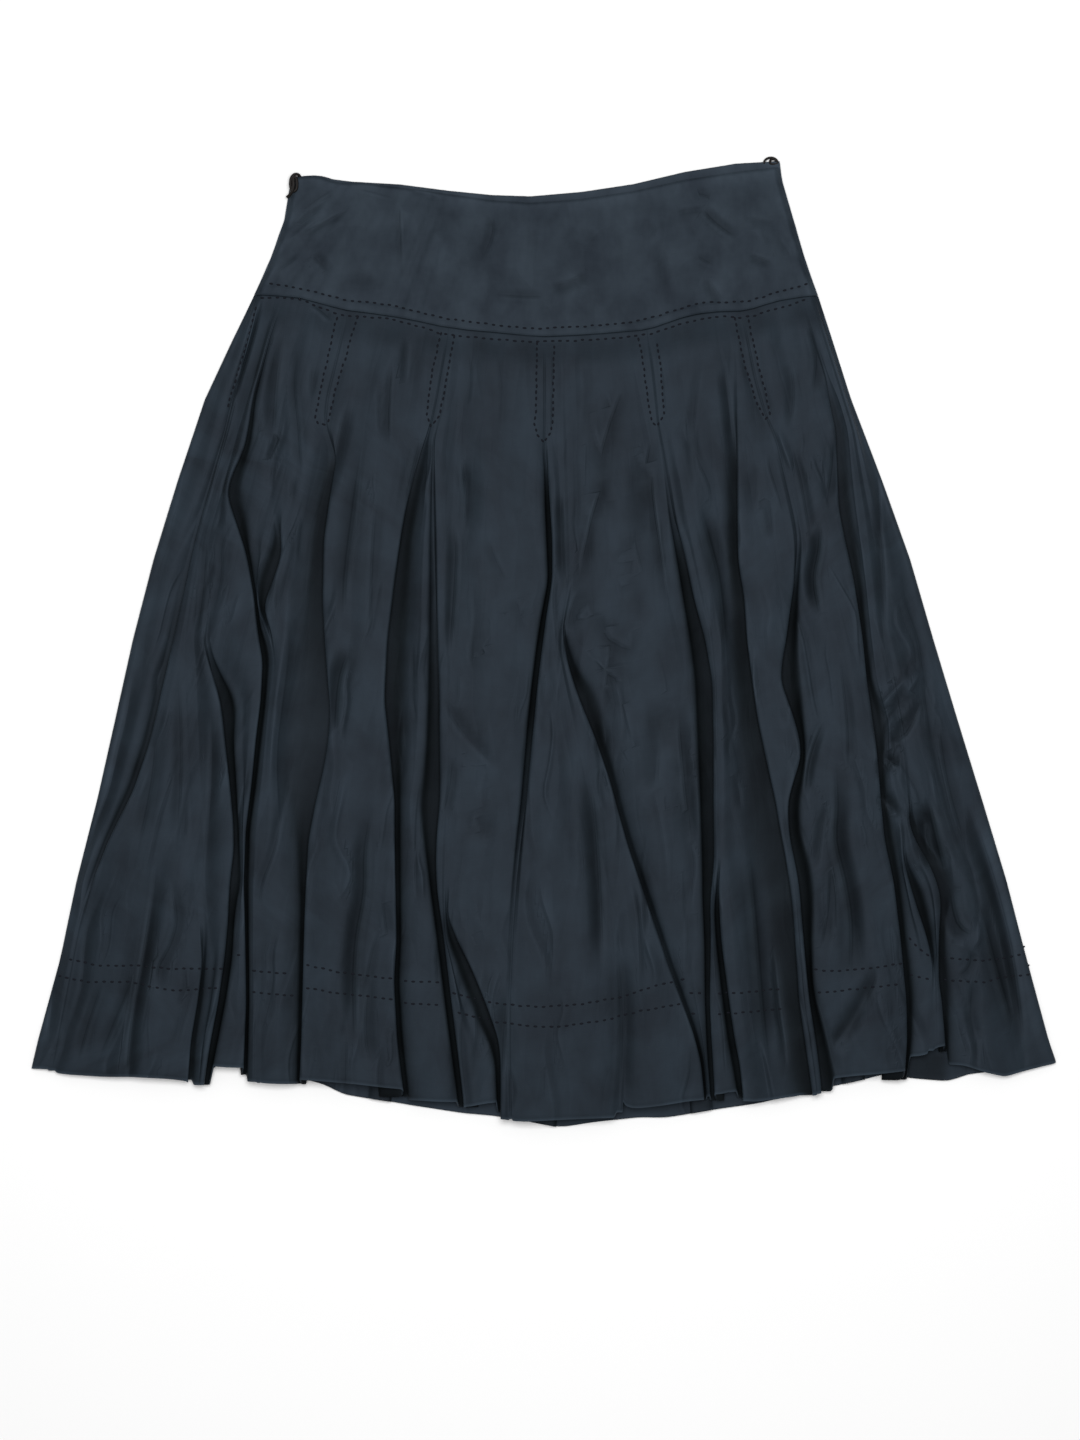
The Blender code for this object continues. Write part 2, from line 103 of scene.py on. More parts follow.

# Each front pleat from left to right: its laps under the left and the right lip, how wide and how
# far the cloth falls before each lip, the height of the deepest layer, the hem there, the depth of
# a pressed centre line, how steep its soft side is, how much of the painted highlight along its lip
# it keeps, and rows of (y, left lip, right lip, left height, right height, how open).
pleatDefaults = {"floor": 5.0, "line": 0, "steep": 0, "rimHighlight": 1}
frontPleats = {
    "sideLeft": {
        "laps": (2, 18), "soft": (4, 1), "drop": (1.5, 0.4), "floor": 3.2, "hem": -334, "line": 0.3,
        "steep": 0.5,
        "rows": (
            (265, -223.5, -222.5, 6, 6, 0), (236, -231, -230, 6, 7, .1), (190, -243, -241, 6, 8, .25),
            (165, -249, -246.5, 6, 9, .25), (80, -274.5, -270.5, 6, 10, .3),
            (2, -293, -288, 6, 10.5, .45), (-76, -311.5, -306, 6, 10.5, .6),
            (-115, -324.5, -319, 6, 10.5, 1), (-154, -342.5, -338.5, 5, 10, 1),
            (-186, -354, -351, 5, 8, .5), (-208, -359, -357, 5, 6, .1), (-225, -363, -362, 5, 5, 0),
            (-345, -386, -385, 5, 5, 0))},
    "hemOne": {
        "laps": (8, 5), "soft": (1, 3), "drop": (.4, 1), "hem": -341,
        "rows": (
            (265, -217, -216, 7, 7, 0), (165, -243.5, -243, 8, 8, 0), (80, -266, -265.5, 10, 10, 0),
            (2, -276, -275, 10, 10, 0), (-186, -268, -267, 10, 10, 0), (-225, -265, -263.5, 11, 10, .1),
            (-248, -265, -262.5, 11, 9.5, .4), (-279, -268.5, -265, 11, 9, .7),
            (-310, -274, -270, 11, 9, 1), (-345, -276.5, -271.5, 11, 9, .6))},
    "dartLeft": {
        "laps": (12, 4), "soft": (1, 2), "drop": (.4, .8), "hem": -345, "steep": 0.8,
        "rows": (
            (265, -210, -209, 7, 7, 0), (165, -239, -238, 8, 8, 0), (80, -262, -261, 10, 10, 0),
            (12, -263, -262, 11, 11, 0), (-2, -263, -261, 12, 11, .1),
            (-18, -259.5, -254.5, 12, 10, .35), (-37, -253.5, -244, 12.5, 9.5, .7),
            (-49, -250.5, -239, 13, 10, 1), (-61, -249, -239.5, 13, 10, 1),
            (-76, -247.5, -241, 13, 10, 1), (-108, -244, -239, 13, 9.5, 1),
            (-139, -241, -237.5, 12.5, 9, 1), (-162, -240.5, -236.5, 12, 8, 1),
            (-186, -243.5, -235, 12, 8, 1), (-201, -244.5, -238.5, 12, 9.5, 1),
            (-217, -245, -240.5, 12, 10.5, 1), (-248, -248, -242, 12, 11, 1),
            (-279, -252.5, -247, 12, 11, 1), (-310, -258.5, -253, 12, 11, 1),
            (-345, -264, -260, 12, 11, .6))},
    "pocketLeft": {
        "laps": (12, 4), "soft": (1, 3), "drop": (.4, 1), "hem": -337, "steep": 0.3,
        "rows": (
            (265, -204, -203, 7, 7, 0), (243, -212, -211, 8, 8, .15), (189, -226, -224, 9, 8, .5),
            (165, -229.5, -226, 10, 9, .8), (150, -232.5, -228.5, 11, 9, 1),
            (130, -242, -234.5, 12, 8.5, 1), (115, -246, -236, 12.5, 8, 1),
            (95, -239.5, -231, 12.5, 8.5, 1), (76, -233, -229.5, 12.5, 9, 1),
            (62, -229.5, -227, 12.5, 9, 1), (44, -226.5, -224.5, 12.5, 8, 1),
            (33, -224.5, -222.5, 12.5, 8, 1), (21, -223.5, -221.5, 12.5, 9, 1),
            (9, -222, -219.5, 12.5, 10, 1), (-2, -220.5, -215, 12.5, 11, 1),
            (-14, -218, -213, 12.5, 11.5, 1), (-45, -219.5, -215.5, 12.5, 12, 1),
            (-76, -223.5, -219, 12, 12, 1), (-108, -226.5, -222.5, 11, 12, 1),
            (-147, -231.5, -228, 9.5, 12, 1), (-186, -233, -229, 8.5, 12, 1),
            (-217, -232, -229, 10.5, 12, .8), (-279, -231, -228.5, 11.5, 12.5, 1),
            (-345, -233.5, -230, 11.5, 12.5, .5))},
    "wedgeLeft": {
        "laps": (4, 10), "soft": (4, 1), "drop": (2, .4), "hem": -343, "steep": 0.5,
        "rows": (
            (265, -197, -196, 7, 7, 0), (165, -205, -204, 9, 9, 0), (100, -208, -206, 9.5, 10, 0),
            (84, -209, -205, 9.5, 11, .3), (74, -211, -203.5, 9.5, 12, .8),
            (64, -215, -205, 9, 12.5, 1), (52, -220, -209, 9, 12.5, 1), (41, -222, -213, 9, 12.5, 1),
            (29, -222, -217.5, 9.5, 12.5, 1), (20, -219, -216.5, 10, 12.5, .6),
            (10, -214, -212, 11, 12, .1), (-14, -209, -208, 12, 12, 0), (-186, -222, -221, 12, 12, 0),
            (-345, -222, -221, 12, 12, 0))},
    "boxOne": {
        "laps": (6, 18), "soft": (16, 2), "drop": (3.6, .6), "hem": -344, "line": .4, "steep": 0.2,
        "rows": (
            (265, -153, -152, 7, 7, 0), (250, -154.5, -153.5, 7, 7, 0), (220, -161.5, -160.5, 8, 8, 0),
            (189, -169, -168, 8.5, 8.5, 0), (170, -170.5, -169.5, 9, 9, 0),
            (158, -168.5, -164, 9.5, 10, .15), (142, -168.5, -161, 9.5, 11.5, .4),
            (126, -172, -164, 10, 12, 1), (111, -175, -166.5, 10, 12, 1), (80, -180, -171, 10, 12.5, 1),
            (33, -184.5, -172, 10.5, 12.5, 1), (2, -187, -170.5, 10.5, 12.5, 1),
            (-30, -193, -168, 10.5, 13, 1), (-53, -197, -166, 10.5, 13, 1),
            (-76, -201, -167.5, 10.5, 13.5, 1), (-100, -201, -171.5, 10.5, 13.5, 1),
            (-123, -197, -177, 11, 13.5, 1), (-154, -192.5, -183, 11.5, 13.5, 1),
            (-201, -189.5, -185.5, 12, 13.5, 1), (-232, -190, -186.5, 12, 13.5, 1),
            (-310, -191.5, -188.5, 12.5, 13.5, 1), (-345, -192.5, -190, 12.5, 13.5, .6))},
    "boxTwoLeft": {
        "laps": (18, 5), "soft": (1, 6), "drop": (.4, 2.4), "hem": -354, "line": .4, "steep": 0.4,
        "rows": (
            (265, -72.5, -71.5, 7, 7, 0), (239, -75, -74, 7, 7, 0), (212, -80, -79, 8, 8, 0),
            (189, -84, -83, 8.5, 8.5, 0), (170, -88, -87, 9, 9, 0), (158, -93, -89, 10.5, 10, .2),
            (126, -101.5, -94.5, 12, 10.5, .5), (103, -107, -98, 12.5, 10.5, .7),
            (80, -111, -102, 13, 10.5, 1), (48, -115.5, -104, 13, 10.5, 1),
            (2, -121, -106.5, 13.5, 10.5, 1), (-45, -123.5, -109, 13.5, 10.5, 1),
            (-76, -120, -110, 13.5, 10.5, 1), (-123, -115.5, -111, 13.5, 11, 1),
            (-154, -115.5, -111, 13.5, 11, 1), (-232, -114, -110.5, 13, 11.5, 1),
            (-264, -116, -112, 13, 12, 1), (-310, -113.5, -109, 13, 12, 1),
            (-355, -108, -104, 13, 12, 1))},
    "boxTwoRight": {
        "laps": (4, 18), "soft": (2.5, 2), "drop": (1, .5), "hem": -362, "steep": 0.8,
        "rows": (
            (265, -65, -64, 7, 7, 0), (239, -67, -66, 7, 7, 0), (212, -73, -72, 8, 8, 0),
            (189, -77, -76, 8.5, 8.5, 0), (170, -82.5, -81.5, 9, 9, 0),
            (158, -86.5, -84.5, 10, 10.5, .1), (126, -87.5, -84.5, 11, 11.5, .15),
            (80, -88, -84, 11, 12.5, .25), (2, -89, -82.5, 11, 13, .4), (-45, -90, -81, 11, 13, .7),
            (-76, -91, -81, 11, 13, 1), (-108, -93.5, -80.5, 11, 13, 1), (-127, -96, -81, 11, 13, 1),
            (-147, -94, -83, 11, 13, 1), (-170, -91, -84, 11, 13, 1), (-193, -88, -83, 11.5, 13, 1),
            (-232, -83, -77.5, 12, 12, 1), (-279, -77, -72, 12, 12, 1), (-310, -73, -68, 12, 12, 1),
            (-361, -66.5, -62, 12, 12, 1))},
    "hemTwo": {
        "laps": (4, 14), "soft": (3, 1), "drop": (1, .4), "hem": -366, "steep": 0.6,
        "rows": (
            (265, -55, -54, 7, 7, 0), (165, -64, -63, 9, 9, 0), (80, -68, -67, 12, 12, 0),
            (-76, -70, -69, 13, 13, 0), (-186, -75, -74, 12.5, 12.5, 0),
            (-213, -76.5, -74.5, 12, 12.5, .2), (-232, -74.5, -67.5, 11, 13, .7),
            (-248, -68.5, -59, 10.5, 13.5, 1), (-264, -63, -52, 10, 13.5, 1),
            (-279, -57, -46, 10, 13.5, 1), (-295, -51, -40, 10, 13.5, 1), (-310, -43, -35, 10, 13.5, 1),
            (-326, -38, -33.5, 10.5, 13.5, 1), (-370, -36, -33.5, 10.5, 13.5, 1))},
    "boxThreeLeft": {
        "laps": (14, 8), "soft": (2, 2), "drop": (.6, .8), "hem": -371, "line": .4, "steep": 0.8,
        "rows": (
            (265, .3, 1.3, 7, 7, 0), (165, .5, 1.5, 8.5, 8.5, 0), (150, .5, 2, 10, 9.5, .1),
            (126, .5, 3.5, 12, 10.5, .4), (103, 1, 5, 12.5, 11, 1), (80, 2, 6.5, 13, 11, 1),
            (48, 3.5, 6.5, 13, 11.5, 1), (17, -2.5, 1.5, 13, 11.5, .8), (-6, -6, -1.5, 13, 12, .9),
            (-30, -9, -4.5, 13, 12, 1), (-61, -12.5, -7.5, 13, 12, .7),
            (-92, -15, -10.5, 13, 12.5, .45), (-123, -17.5, -13.5, 13, 13, .4),
            (-154, -20.5, -17, 13, 13, .25), (-186, -23, -20, 13, 13, .15),
            (-209, -24, -22, 13, 13, .1), (-232, -25, -24, 13, 13, .06),
            (-279, -27, -26, 13.5, 13.5, .05), (-310, -27, -26, 13.5, 13.5, 0),
            (-370, -26, -25, 13, 13, 0))},
    "centreSoft": {
        "laps": (5, 8), "soft": (8, 2), "drop": (2.5, .6), "hem": -366, "rimHighlight": 0,
        "rows": (
            (265, 10, 11, 7, 7, 0), (165, 12, 13, 8.5, 8.5, 0), (48, 17, 18, 12, 12, 0),
            (-2, 9, 10, 12, 12, 0), (-61, 18, 19, 13, 13, 0), (-154, 38, 39, 13, 13, 0),
            (-248, 58, 59, 13, 12.5, 0), (-279, 60, 62, 13, 12.5, .1),
            (-310, 58.5, 62.5, 13, 12.5, .05), (-341, 55, 63.5, 13, 12.5, .1),
            (-370, 51.5, 65, 13, 12.5, .15))},
    "boxThreeRight": {
        "laps": (10, 16), "soft": (1, 4), "drop": (.4, 1.6), "hem": -357, "steep": 0.2,
        "rows": (
            (265, 18, 19, 7, 7, 0), (126, 21, 22, 10, 10, 0), (48, 22, 23, 12, 12, 0),
            (12, 15, 16, 12.5, 11.5, .05), (2, 15.5, 18, 13, 11, .3), (-18, 19.5, 24.5, 13.5, 10.5, .5),
            (-37, 25.5, 37, 13.5, 10, 1), (-49, 30, 43, 13.5, 10, 1), (-61, 35, 45, 13.5, 10, 1),
            (-76, 41, 47.5, 13.5, 10.5, .7), (-108, 52, 57, 13.5, 10.5, .45),
            (-131, 58, 62.5, 13.5, 11, .5), (-162, 67, 71.5, 13.5, 11, .5),
            (-193, 77.5, 82, 13.5, 11, .45), (-248, 96, 100, 13, 11, .4),
            (-279, 107.5, 111, 13, 11, .4), (-303, 116.5, 119.5, 13, 10.5, .45),
            (-326, 122.5, 125, 13, 10, 1), (-357, 125.5, 127.5, 13, 10, 1))},
    "boxFour": {
        "laps": (16, 16), "soft": (3, 2), "drop": (1, .6), "hem": -357, "line": .4, "steep": 0.9,
        "rows": (
            (265, 78.5, 79.5, 7, 7, 0), (237, 80.5, 81.5, 7, 7, 0), (216, 84, 85, 8, 8, 0),
            (189, 87, 88, 8.5, 8.5, 0), (168, 88.8, 89.8, 9, 9, 0), (150, 91.5, 94, 10, 10, .05),
            (126, 94.5, 98, 11, 11, .08), (95, 98, 103, 12, 12, .2), (64, 103.5, 110.5, 12.5, 12, .6),
            (33, 108.5, 117, 12.5, 12, 1), (2, 113.5, 125.5, 12.5, 12.5, 1),
            (-30, 117.5, 131, 12.5, 12.5, 1), (-76, 119.5, 132, 12.5, 12.5, 1),
            (-123, 121.5, 132, 12.5, 12.5, 1), (-170, 123, 132.5, 12.5, 12.5, 1),
            (-201, 123.5, 129.5, 12.5, 11.5, 1), (-232, 125, 130, 12, 11, .7),
            (-279, 125.5, 129, 11.5, 11, .6), (-310, 126.8, 130.5, 10.5, 11, .8),
            (-326, 127.8, 131.5, 10, 11, 1), (-353, 130, 133, 10, 11, 1))},
    "hemFour": {
        "laps": (2, 14), "soft": (3, 1.5), "drop": (1, .5), "hem": -355, "steep": 0.6,
        "rows": (
            (265, 90, 91, 7, 7, 0), (168, 100, 101, 9, 9, 0), (80, 118, 119, 11, 11, 0),
            (2, 134.5, 135.5, 12, 12, 0), (-76, 137, 138, 12.5, 12.5, 0),
            (-170, 136.5, 137.5, 12.5, 12.5, 0), (-193, 134, 136, 12, 12.5, .3),
            (-209, 132.5, 136.5, 11.5, 13, .8), (-232, 133.8, 138, 11, 13, 1),
            (-248, 135.5, 140, 11, 13, 1), (-279, 139, 144, 11, 13, 1), (-310, 143, 148.5, 11, 13, 1),
            (-326, 146, 152, 11, 13, 1), (-353, 151, 155, 11, 13, 1))},
    "plainFive": {
        "laps": (6, 14), "soft": (7, 1.5), "drop": (2.4, .5), "hem": -353, "steep": 0,
        "rows": (
            (265, 143.5, 144.5, 7, 7, 0), (236, 146.5, 148.5, 8, 8, .05),
            (189, 145.5, 149.5, 9, 9.5, .15), (165, 144, 150.5, 9.5, 10.5, .3),
            (111, 143, 150.5, 10, 11.5, .6), (64, 143.5, 151, 10, 12, .8),
            (33, 145.5, 156, 10, 12.5, 1), (2, 147, 158, 10.5, 13, 1), (-30, 149.5, 162, 11, 13, 1),
            (-61, 151.5, 166.5, 11, 13, 1), (-92, 153, 173, 11, 13, 1), (-123, 156.5, 180, 11, 12.5, 1),
            (-147, 159, 184, 11, 12, .9), (-170, 162.5, 188.5, 11, 12.5, .9),
            (-201, 168, 193, 11, 12.5, .9), (-232, 174, 195.5, 10.5, 12.5, 1),
            (-279, 182, 198.5, 10.5, 12.5, 1), (-310, 188, 203, 10, 12, 1),
            (-355, 197, 209.5, 10, 11.5, 1))},
    "boxFive": {
        "laps": (9, 8), "soft": (1.5, 2), "drop": (.5, .7), "hem": -350, "line": .4, "steep": 0.6,
        "rows": (
            (265, 153.3, 154.3, 7, 7, 0), (250, 155.3, 156.3, 7, 7, 0), (204, 164.5, 165.5, 8, 8, 0),
            (177, 172.3, 173.3, 8.5, 8.5, 0), (158, 180.5, 182, 9.5, 9.5, .05),
            (126, 187.5, 189.5, 11, 10.5, .08), (95, 194.5, 197, 12, 11, .1),
            (76, 197, 199.5, 12.5, 11.5, .15), (48, 195.5, 198.5, 12.5, 11.5, .35),
            (25, 192, 198, 12.5, 12, .7), (2, 189, 197.5, 12.5, 12, 1), (-14, 186, 197.5, 12.5, 12, 1),
            (-30, 184.5, 199, 12.5, 12, 1), (-45, 190, 200.5, 13, 12, 1), (-61, 195.5, 202, 13, 12, 1),
            (-76, 199.5, 203.5, 13, 12, 1), (-90, 200.5, 204, 12.5, 12, .9),
            (-104, 196, 202.5, 12.5, 12, .9), (-123, 190.5, 199, 12.5, 12, 1),
            (-139, 190.5, 198.5, 12.5, 12.5, 1), (-154, 192, 201, 12.5, 12.5, 1),
            (-170, 195.5, 205.5, 12.5, 12.5, 1), (-186, 198.5, 208.5, 12.5, 13, 1),
            (-201, 200, 209.5, 12.5, 13, 1), (-232, 202.5, 208.5, 12, 13, 1),
            (-264, 205.5, 209.5, 12, 13, 1), (-279, 207, 212, 12, 13, 1),
            (-310, 212, 220.5, 11.5, 12.5, 1), (-338, 215.5, 226.5, 11, 12, 1),
            (-350, 216.5, 227.5, 11, 12, 1))},
    "pocketRight": {
        "laps": (16, 8), "soft": (2, 4), "drop": (.6, 1.6), "hem": -341, "steep": 0.2,
        "rows": (
            (265, 203, 204, 7, 7, 0), (240, 208, 210, 7.5, 7, .05), (204, 219, 223.5, 9, 7.5, .2),
            (165, 227.5, 235, 10.5, 8, .8), (126, 229, 237, 11, 8, .8), (103, 230, 239.5, 12, 8.5, 1),
            (80, 234.5, 243, 12.5, 9, 1), (48, 241.5, 247.5, 13, 9, 1), (2, 248.5, 251.8, 13, 9, 1),
            (-30, 251.5, 255.5, 13, 9, 1), (-49, 254.5, 262, 13, 8.5, 1), (-61, 256, 268, 13, 8.5, 1),
            (-73, 258, 266, 13, 8.5, 1), (-92, 260, 265, 13, 9, 1), (-123, 262.5, 267, 13, 9.5, 1),
            (-154, 265.5, 272, 13, 10, 1), (-186, 272.5, 277.5, 13, 10, 1),
            (-232, 278, 282.5, 13, 11, 1), (-264, 281, 286.5, 13, 11, 1),
            (-279, 282.5, 287.5, 13, 11, 1), (-310, 283, 286.5, 13, 11, 1), (-338, 281, 284, 13, 11, 1))},
    "pitRight": {
        "laps": (7, 6), "soft": (1.5, 3), "drop": (.5, 1.4), "hem": -318, "steep": 0.3,
        "rows": (
            (265, 208, 209, 7, 7, 0), (165, 239, 239.5, 8, 8, 0), (80, 250, 251, 9, 9, 0),
            (2, 259, 260, 9, 9, 0), (-76, 272, 273, 9, 9, 0), (-140, 279, 280, 10.5, 10.5, 0),
            (-170, 280, 282, 12, 11, .15), (-182, 283.5, 288.5, 12.5, 10.5, .5),
            (-193, 286.5, 294.5, 12.5, 10, 1), (-209, 291.5, 298.5, 12, 10, 1),
            (-225, 297, 302, 12, 10.5, .9), (-240, 301, 304, 12, 11, .5),
            (-256, 303, 304, 11.5, 11.5, .05), (-310, 301, 302, 11.5, 11.5, 0),
            (-345, 299, 300, 11.5, 11.5, 0))},
    "sideRight": {
        "laps": (14, 6), "soft": (1.5, 6), "drop": (.5, 2.2), "floor": 3.6, "hem": -319, "steep": 0.2,
        "rows": (
            (265, 211, 211.5, 6.5, 6.5, 0), (165, 242.5, 243, 7, 7, 0), (80, 259, 260, 8, 8, 0),
            (2, 266, 267, 8.5, 8.5, 0), (-76, 280, 281, 8.5, 8.5, 0), (-125, 285, 286, 9.5, 8.5, .1),
            (-139, 284, 289, 11, 8.5, .5), (-154, 289, 297, 12, 8, .9), (-170, 299, 309, 12, 7.5, 1),
            (-186, 306, 317, 12, 7.5, 1), (-201, 309.5, 318, 12, 7.5, 1),
            (-217, 308.5, 313.5, 12, 8, 1), (-232, 307.5, 312.5, 12, 8, 1),
            (-264, 307.5, 315, 12, 8, 1), (-279, 310, 315.5, 12, 8, 1),
            (-310, 312.5, 315.5, 12, 8.5, 1), (-335, 313.5, 316, 12, 9, 1))},
}

# the hem of the cloth between one pleat and the next, from left to right
frontHems = (
    (-332.5, -333), (-334, -337, -338.5, -338.5, -340, -343), (-345, -344.5), (-330, -331, -331.5),
    (-342, -342.5), (-342.5, -343.5, -344), (-340, -341.5, -343.5, -346.5, -349),
    (-356.5, -357.5, -358), (-362.5, -360, -358), (-371, -372), (-372, -373, -371.5, -370.5, -370),
    (-357, -363, -360.5, -357, -355.5), (-354, -353.5), (-352.5, -351, -349.5),
    (-357, -357.5, -356, -353), (-353, -351), (-340, -337.5, -335.5, -333), (-323, -320),
    (-318, -313.5), (-329, -329.5, -335, -338.5, -334, -330, -327))

# soft creases of the front: depth, half width, then their route
frontCreases = (
    (-1.6, 3.6, (-319, -20), (-324, -55), (-331, -84), (-338, -115), (-347, -140), (-356, -170)),
    (-1.2, 3.0, (-262, 80), (-265, 40), (-270, 0)),
    (-1.0, 3.5, (-285, -20), (-283, -90), (-286, -170)),
    (-1.4, 3.5, (-258, -50), (-258, -110), (-264, -190)),
    (-1.3, 4.0, (-301, -60), (-306, -110), (-316, -160)),
    (-2.4, 3.6, (-300, -165), (-304, -205), (-311, -250), (-318, -290), (-322, -335), (-322, -380)),
    (-1.4, 3.6, (-290, -180), (-284, -215), (-290, -238), (-299, -256), (-296, -280)),
    (-1.2, 3.6, (-338, -186), (-355, -225), (-360, -272), (-377, -318)),
    (-1.2, 3.0, (-343, -262), (-356, -300), (-364, -330)),
    (-1.3, 3.2, (-318, -255), (-330, -285), (-347, -325)),
    (-1.2, 4.0, (-375, -215), (-382, -270), (-386, -325)),
    (-1.5, 2.2, (-204, 163), (-210, 150), (-215, 138)),
    (-.6, 2.5, (-196, 128), (-196, 112)),
    (.8, 4.0, (-197, 64), (-201, 2), (-211, -76), (-214, -123)),
    (-.7, 2.5, (-187, 98), (-191, 64)),
    (-2.4, 4.5, (-133, -120), (-140, -160), (-141, -195), (-147, -230), (-149, -270), (-147, -325)),
    (-2.6, 4.5, (-152, -4), (-159, -25), (-162, -48), (-163, -74)),
    (-1.0, 4.0, (-128, 120), (-132, 60), (-133, 0)),
    (-1.6, 5.0, (-143, 150), (-150, 100), (-156, 50), (-157, 10)),
    (-1.0, 3.0, (-124, -200), (-120, -232)),
    (-1.2, 4.0, (-134, -250), (-137, -300), (-132, -335)),
    (-1.8, 3.0, (-63, 145), (-59, 111), (-61, 84)),
    (-1.4, 3.2, (-71, 98), (-69, 64), (-73, 2), (-76, -16)),
    (-0.8, 3.5, (-43, 80), (-38, 64), (-29, 46)),
    (-1.0, 3.5, (-55, 45), (-53, 17), (-56, -14), (-49, -40)),
    (-0.7, 3.5, (-23, 35), (-14, 7)),
    (-1.1, 4.0, (-78, -43), (-66, -64), (-50, -84), (-34, -102)),
    (-1.0, 4.0, (-54, -129), (-45, -156)),
    (-1.0, 3.5, (-70, -88), (-72, -112), (-79, -140)),
    (-1.6, 4.0, (-29, -270), (-32, -310), (-33, -345)),
    (-2.2, 4.2, (34, -100), (38, -135), (41, -170), (43, -215), (44, -262)),
    (-1.4, 4.6, (58, -235), (62, -280), (62, -320), (60, -365)),
    (-1.6, 2.8, (13, 121), (14, 80), (16, 39)),
    (-2.0, 3.6, (51, 145), (45, 118), (37, 90), (27, 44)),
    (-1.4, 3.2, (28, 42), (40, 20), (52, 2), (50, -30), (46, -62)),
    (-1.2, 3.0, (28, 42), (22, 24), (18, 6)),
    (-1.1, 3.6, (71, 145), (71, 95), (66, 40)),
    (-2.2, 2.8, (83, 152), (84, 115), (91, 64), (96, 32)),
    (-1.8, 4.0, (105, -42), (109, -92), (114, -139), (119, -172)),
    (-1.4, 7.0, (96, -42), (88, -76), (83, -126)),
    (-2.4, 4.6, (122, 110), (131, 78), (137, 55), (141, 25), (144, -10)),
    (-.8, 3.4, (138, -28), (142, -61), (151, -92), (155, -126)),
    (-2.6, 5.0, (160, -150), (164, -190), (168, -235), (172, -285), (178, -340)),
    (-2.2, 2.0, (178, -230), (182, -280), (190, -335)),
    (-1.0, 3.0, (175, 115), (178, 78)),
    (-1.2, 3.0, (193, 155), (201, 126), (209, 78)),
    (-2.8, 3.6, (214, 94), (213, 72), (209, 48), (214, 18)),
    (-1.0, 3.0, (231, -10), (237, -61), (238, -107)),
    (-2.8, 5.0, (228, -90), (230, -125), (229, -155), (236, -185), (241, -220), (240, -268)),
    (-1.8, 2.4, (219, -60), (211, -80), (206, -100), (204, -125)),
    (-1.2, 3.0, (222, -120), (216, -147), (212, -180)),
    (-1.5, 3.8, (252, -246), (257, -262), (240, -293), (226, -320)),
    (-1.0, 3.0, (254, -262), (246, -285), (234, -305)),
    (-1.3, 3.0, (260, 152), (262, 95), (266, 0)),
    (-.9, 3.6, (277, 82), (282, 33), (293, 0), (298, -45), (305, -92), (320, -147), (336, -188)),
    (-2.4, 4.6, (330, -170), (345, -220), (359, -271), (372, -315)),
    (-1.6, 3.0, (287, -4), (282, -30), (274, -53), (265, -66)),
    (-1.5, 2.6, (283, -58), (273, -78)),
    (-2.2, 3.6, (261, -90), (269, -102)),
    (-1.8, 3.0, (265, -121), (280, -138)),
    (-2.8, 5.0, (297, -118), (304, -150), (312, -182)),
    (-1.4, 3.4, (330, -225), (333, -250), (322, -262)),
    (-1.4, 4.0, (335, -260), (333, -290), (338, -318)),
    (-1.2, 4.0, (308, -60), (316, -110), (330, -160)),
    (-1.6, 4.5, (-202, 240), (-208, 214), (-211, 178), (-212, 152)),
    (-1.2, 3.0, (-212, 254), (-220, 226), (-227, 200)),
    (-1.4, 3.0, (-182, 264), (-174, 259), (-164, 250)),
    (-.9, 3.0, (-191, 228), (-194.5, 202), (-191.6, 166), (-188.6, 122)),
    (-.8, 3.0, (-179.7, 216), (-181, 188)),
    (-1.6, 4.0, (-152, 190), (-159, 154), (-171, 108)),
    (-.7, 3.0, (-129, 202), (-128, 180), (-126, 158)),
    (-1.2, 2.5, (-118, 220), (-121, 178), (-120, 150)),
    (-1.0, 2.5, (-105, 240), (-107, 222), (-109, 198)),
    (-1.5, 4.0, (-93, 160), (-102, 125), (-106, 104)),
    (-.5, 3.0, (-60, 232), (-57, 205), (-60, 178)),
    (-.5, 4.0, (-36, 230), (-32, 200), (-34, 165)),
    (-.5, 4.0, (30, 225), (33, 195), (30, 160)),
    (-1.5, 4.0, (66, 204), (53, 170), (45, 139), (42, 108)),
    (-.7, 3.0, (124, 228), (118, 190), (115, 150), (116.6, 108)),
    (-1.5, 3.4, (140, 216), (144.6, 178), (149, 140)),
    (-1.4, 3.0, (85, 161), (79, 125), (76, 97)),
    (-1.0, 3.0, (190.5, 221), (193.7, 195), (191, 164)),
    (-1.3, 3.5, (206, 248), (213, 223), (210.6, 192)),
    (-1.8, 3.6, (226, 160), (225, 135), (221, 108)),
    (1.2, 2.5, (181, 168), (187, 150), (195, 128)),
    (-.8, 4.0, (166, 142), (163, 98)),
    (2.2, 3.5, (259, -53), (275, -37), (291, -21)),
    (1.6, 3.0, (261, -76), (281, -43), (300, -14)),
    (-2.2, 3.0, (262, -66), (275, -52), (289, -36)),
    (-1.6, 4.0, (261, -80), (281, -71), (296, -42)),
    (-2.4, 3.0, (264, -88), (271, -93), (279, -97)),
    (-2.6, 3.0, (262, -118), (267, -124), (273, -131)),
    (-2.6, 4.5, (295, -130), (298, -160), (306, -179)),
    (-2.4, 5.0, (315, -190), (321, -219), (335, -231)),
    (1.6, 4.0, (316, -230), (334, -238), (342, -213), (334, -179)),
    (-2.4, 4.5, (325, -115), (338, -150), (352, -195), (363, -240), (370, -290), (374, -335)),
    (-1.3, 3.0, (224, -170), (222, -209), (216, -244)),
    (-1.6, 4.0, (222, -318), (236, -300), (250, -281)),
)

# the seam at the left that opens over the zip, beside its stitches
frontOpening = ((-219.5, 268), (-227.5, 236), (-236.5, 206), (-243, 182))

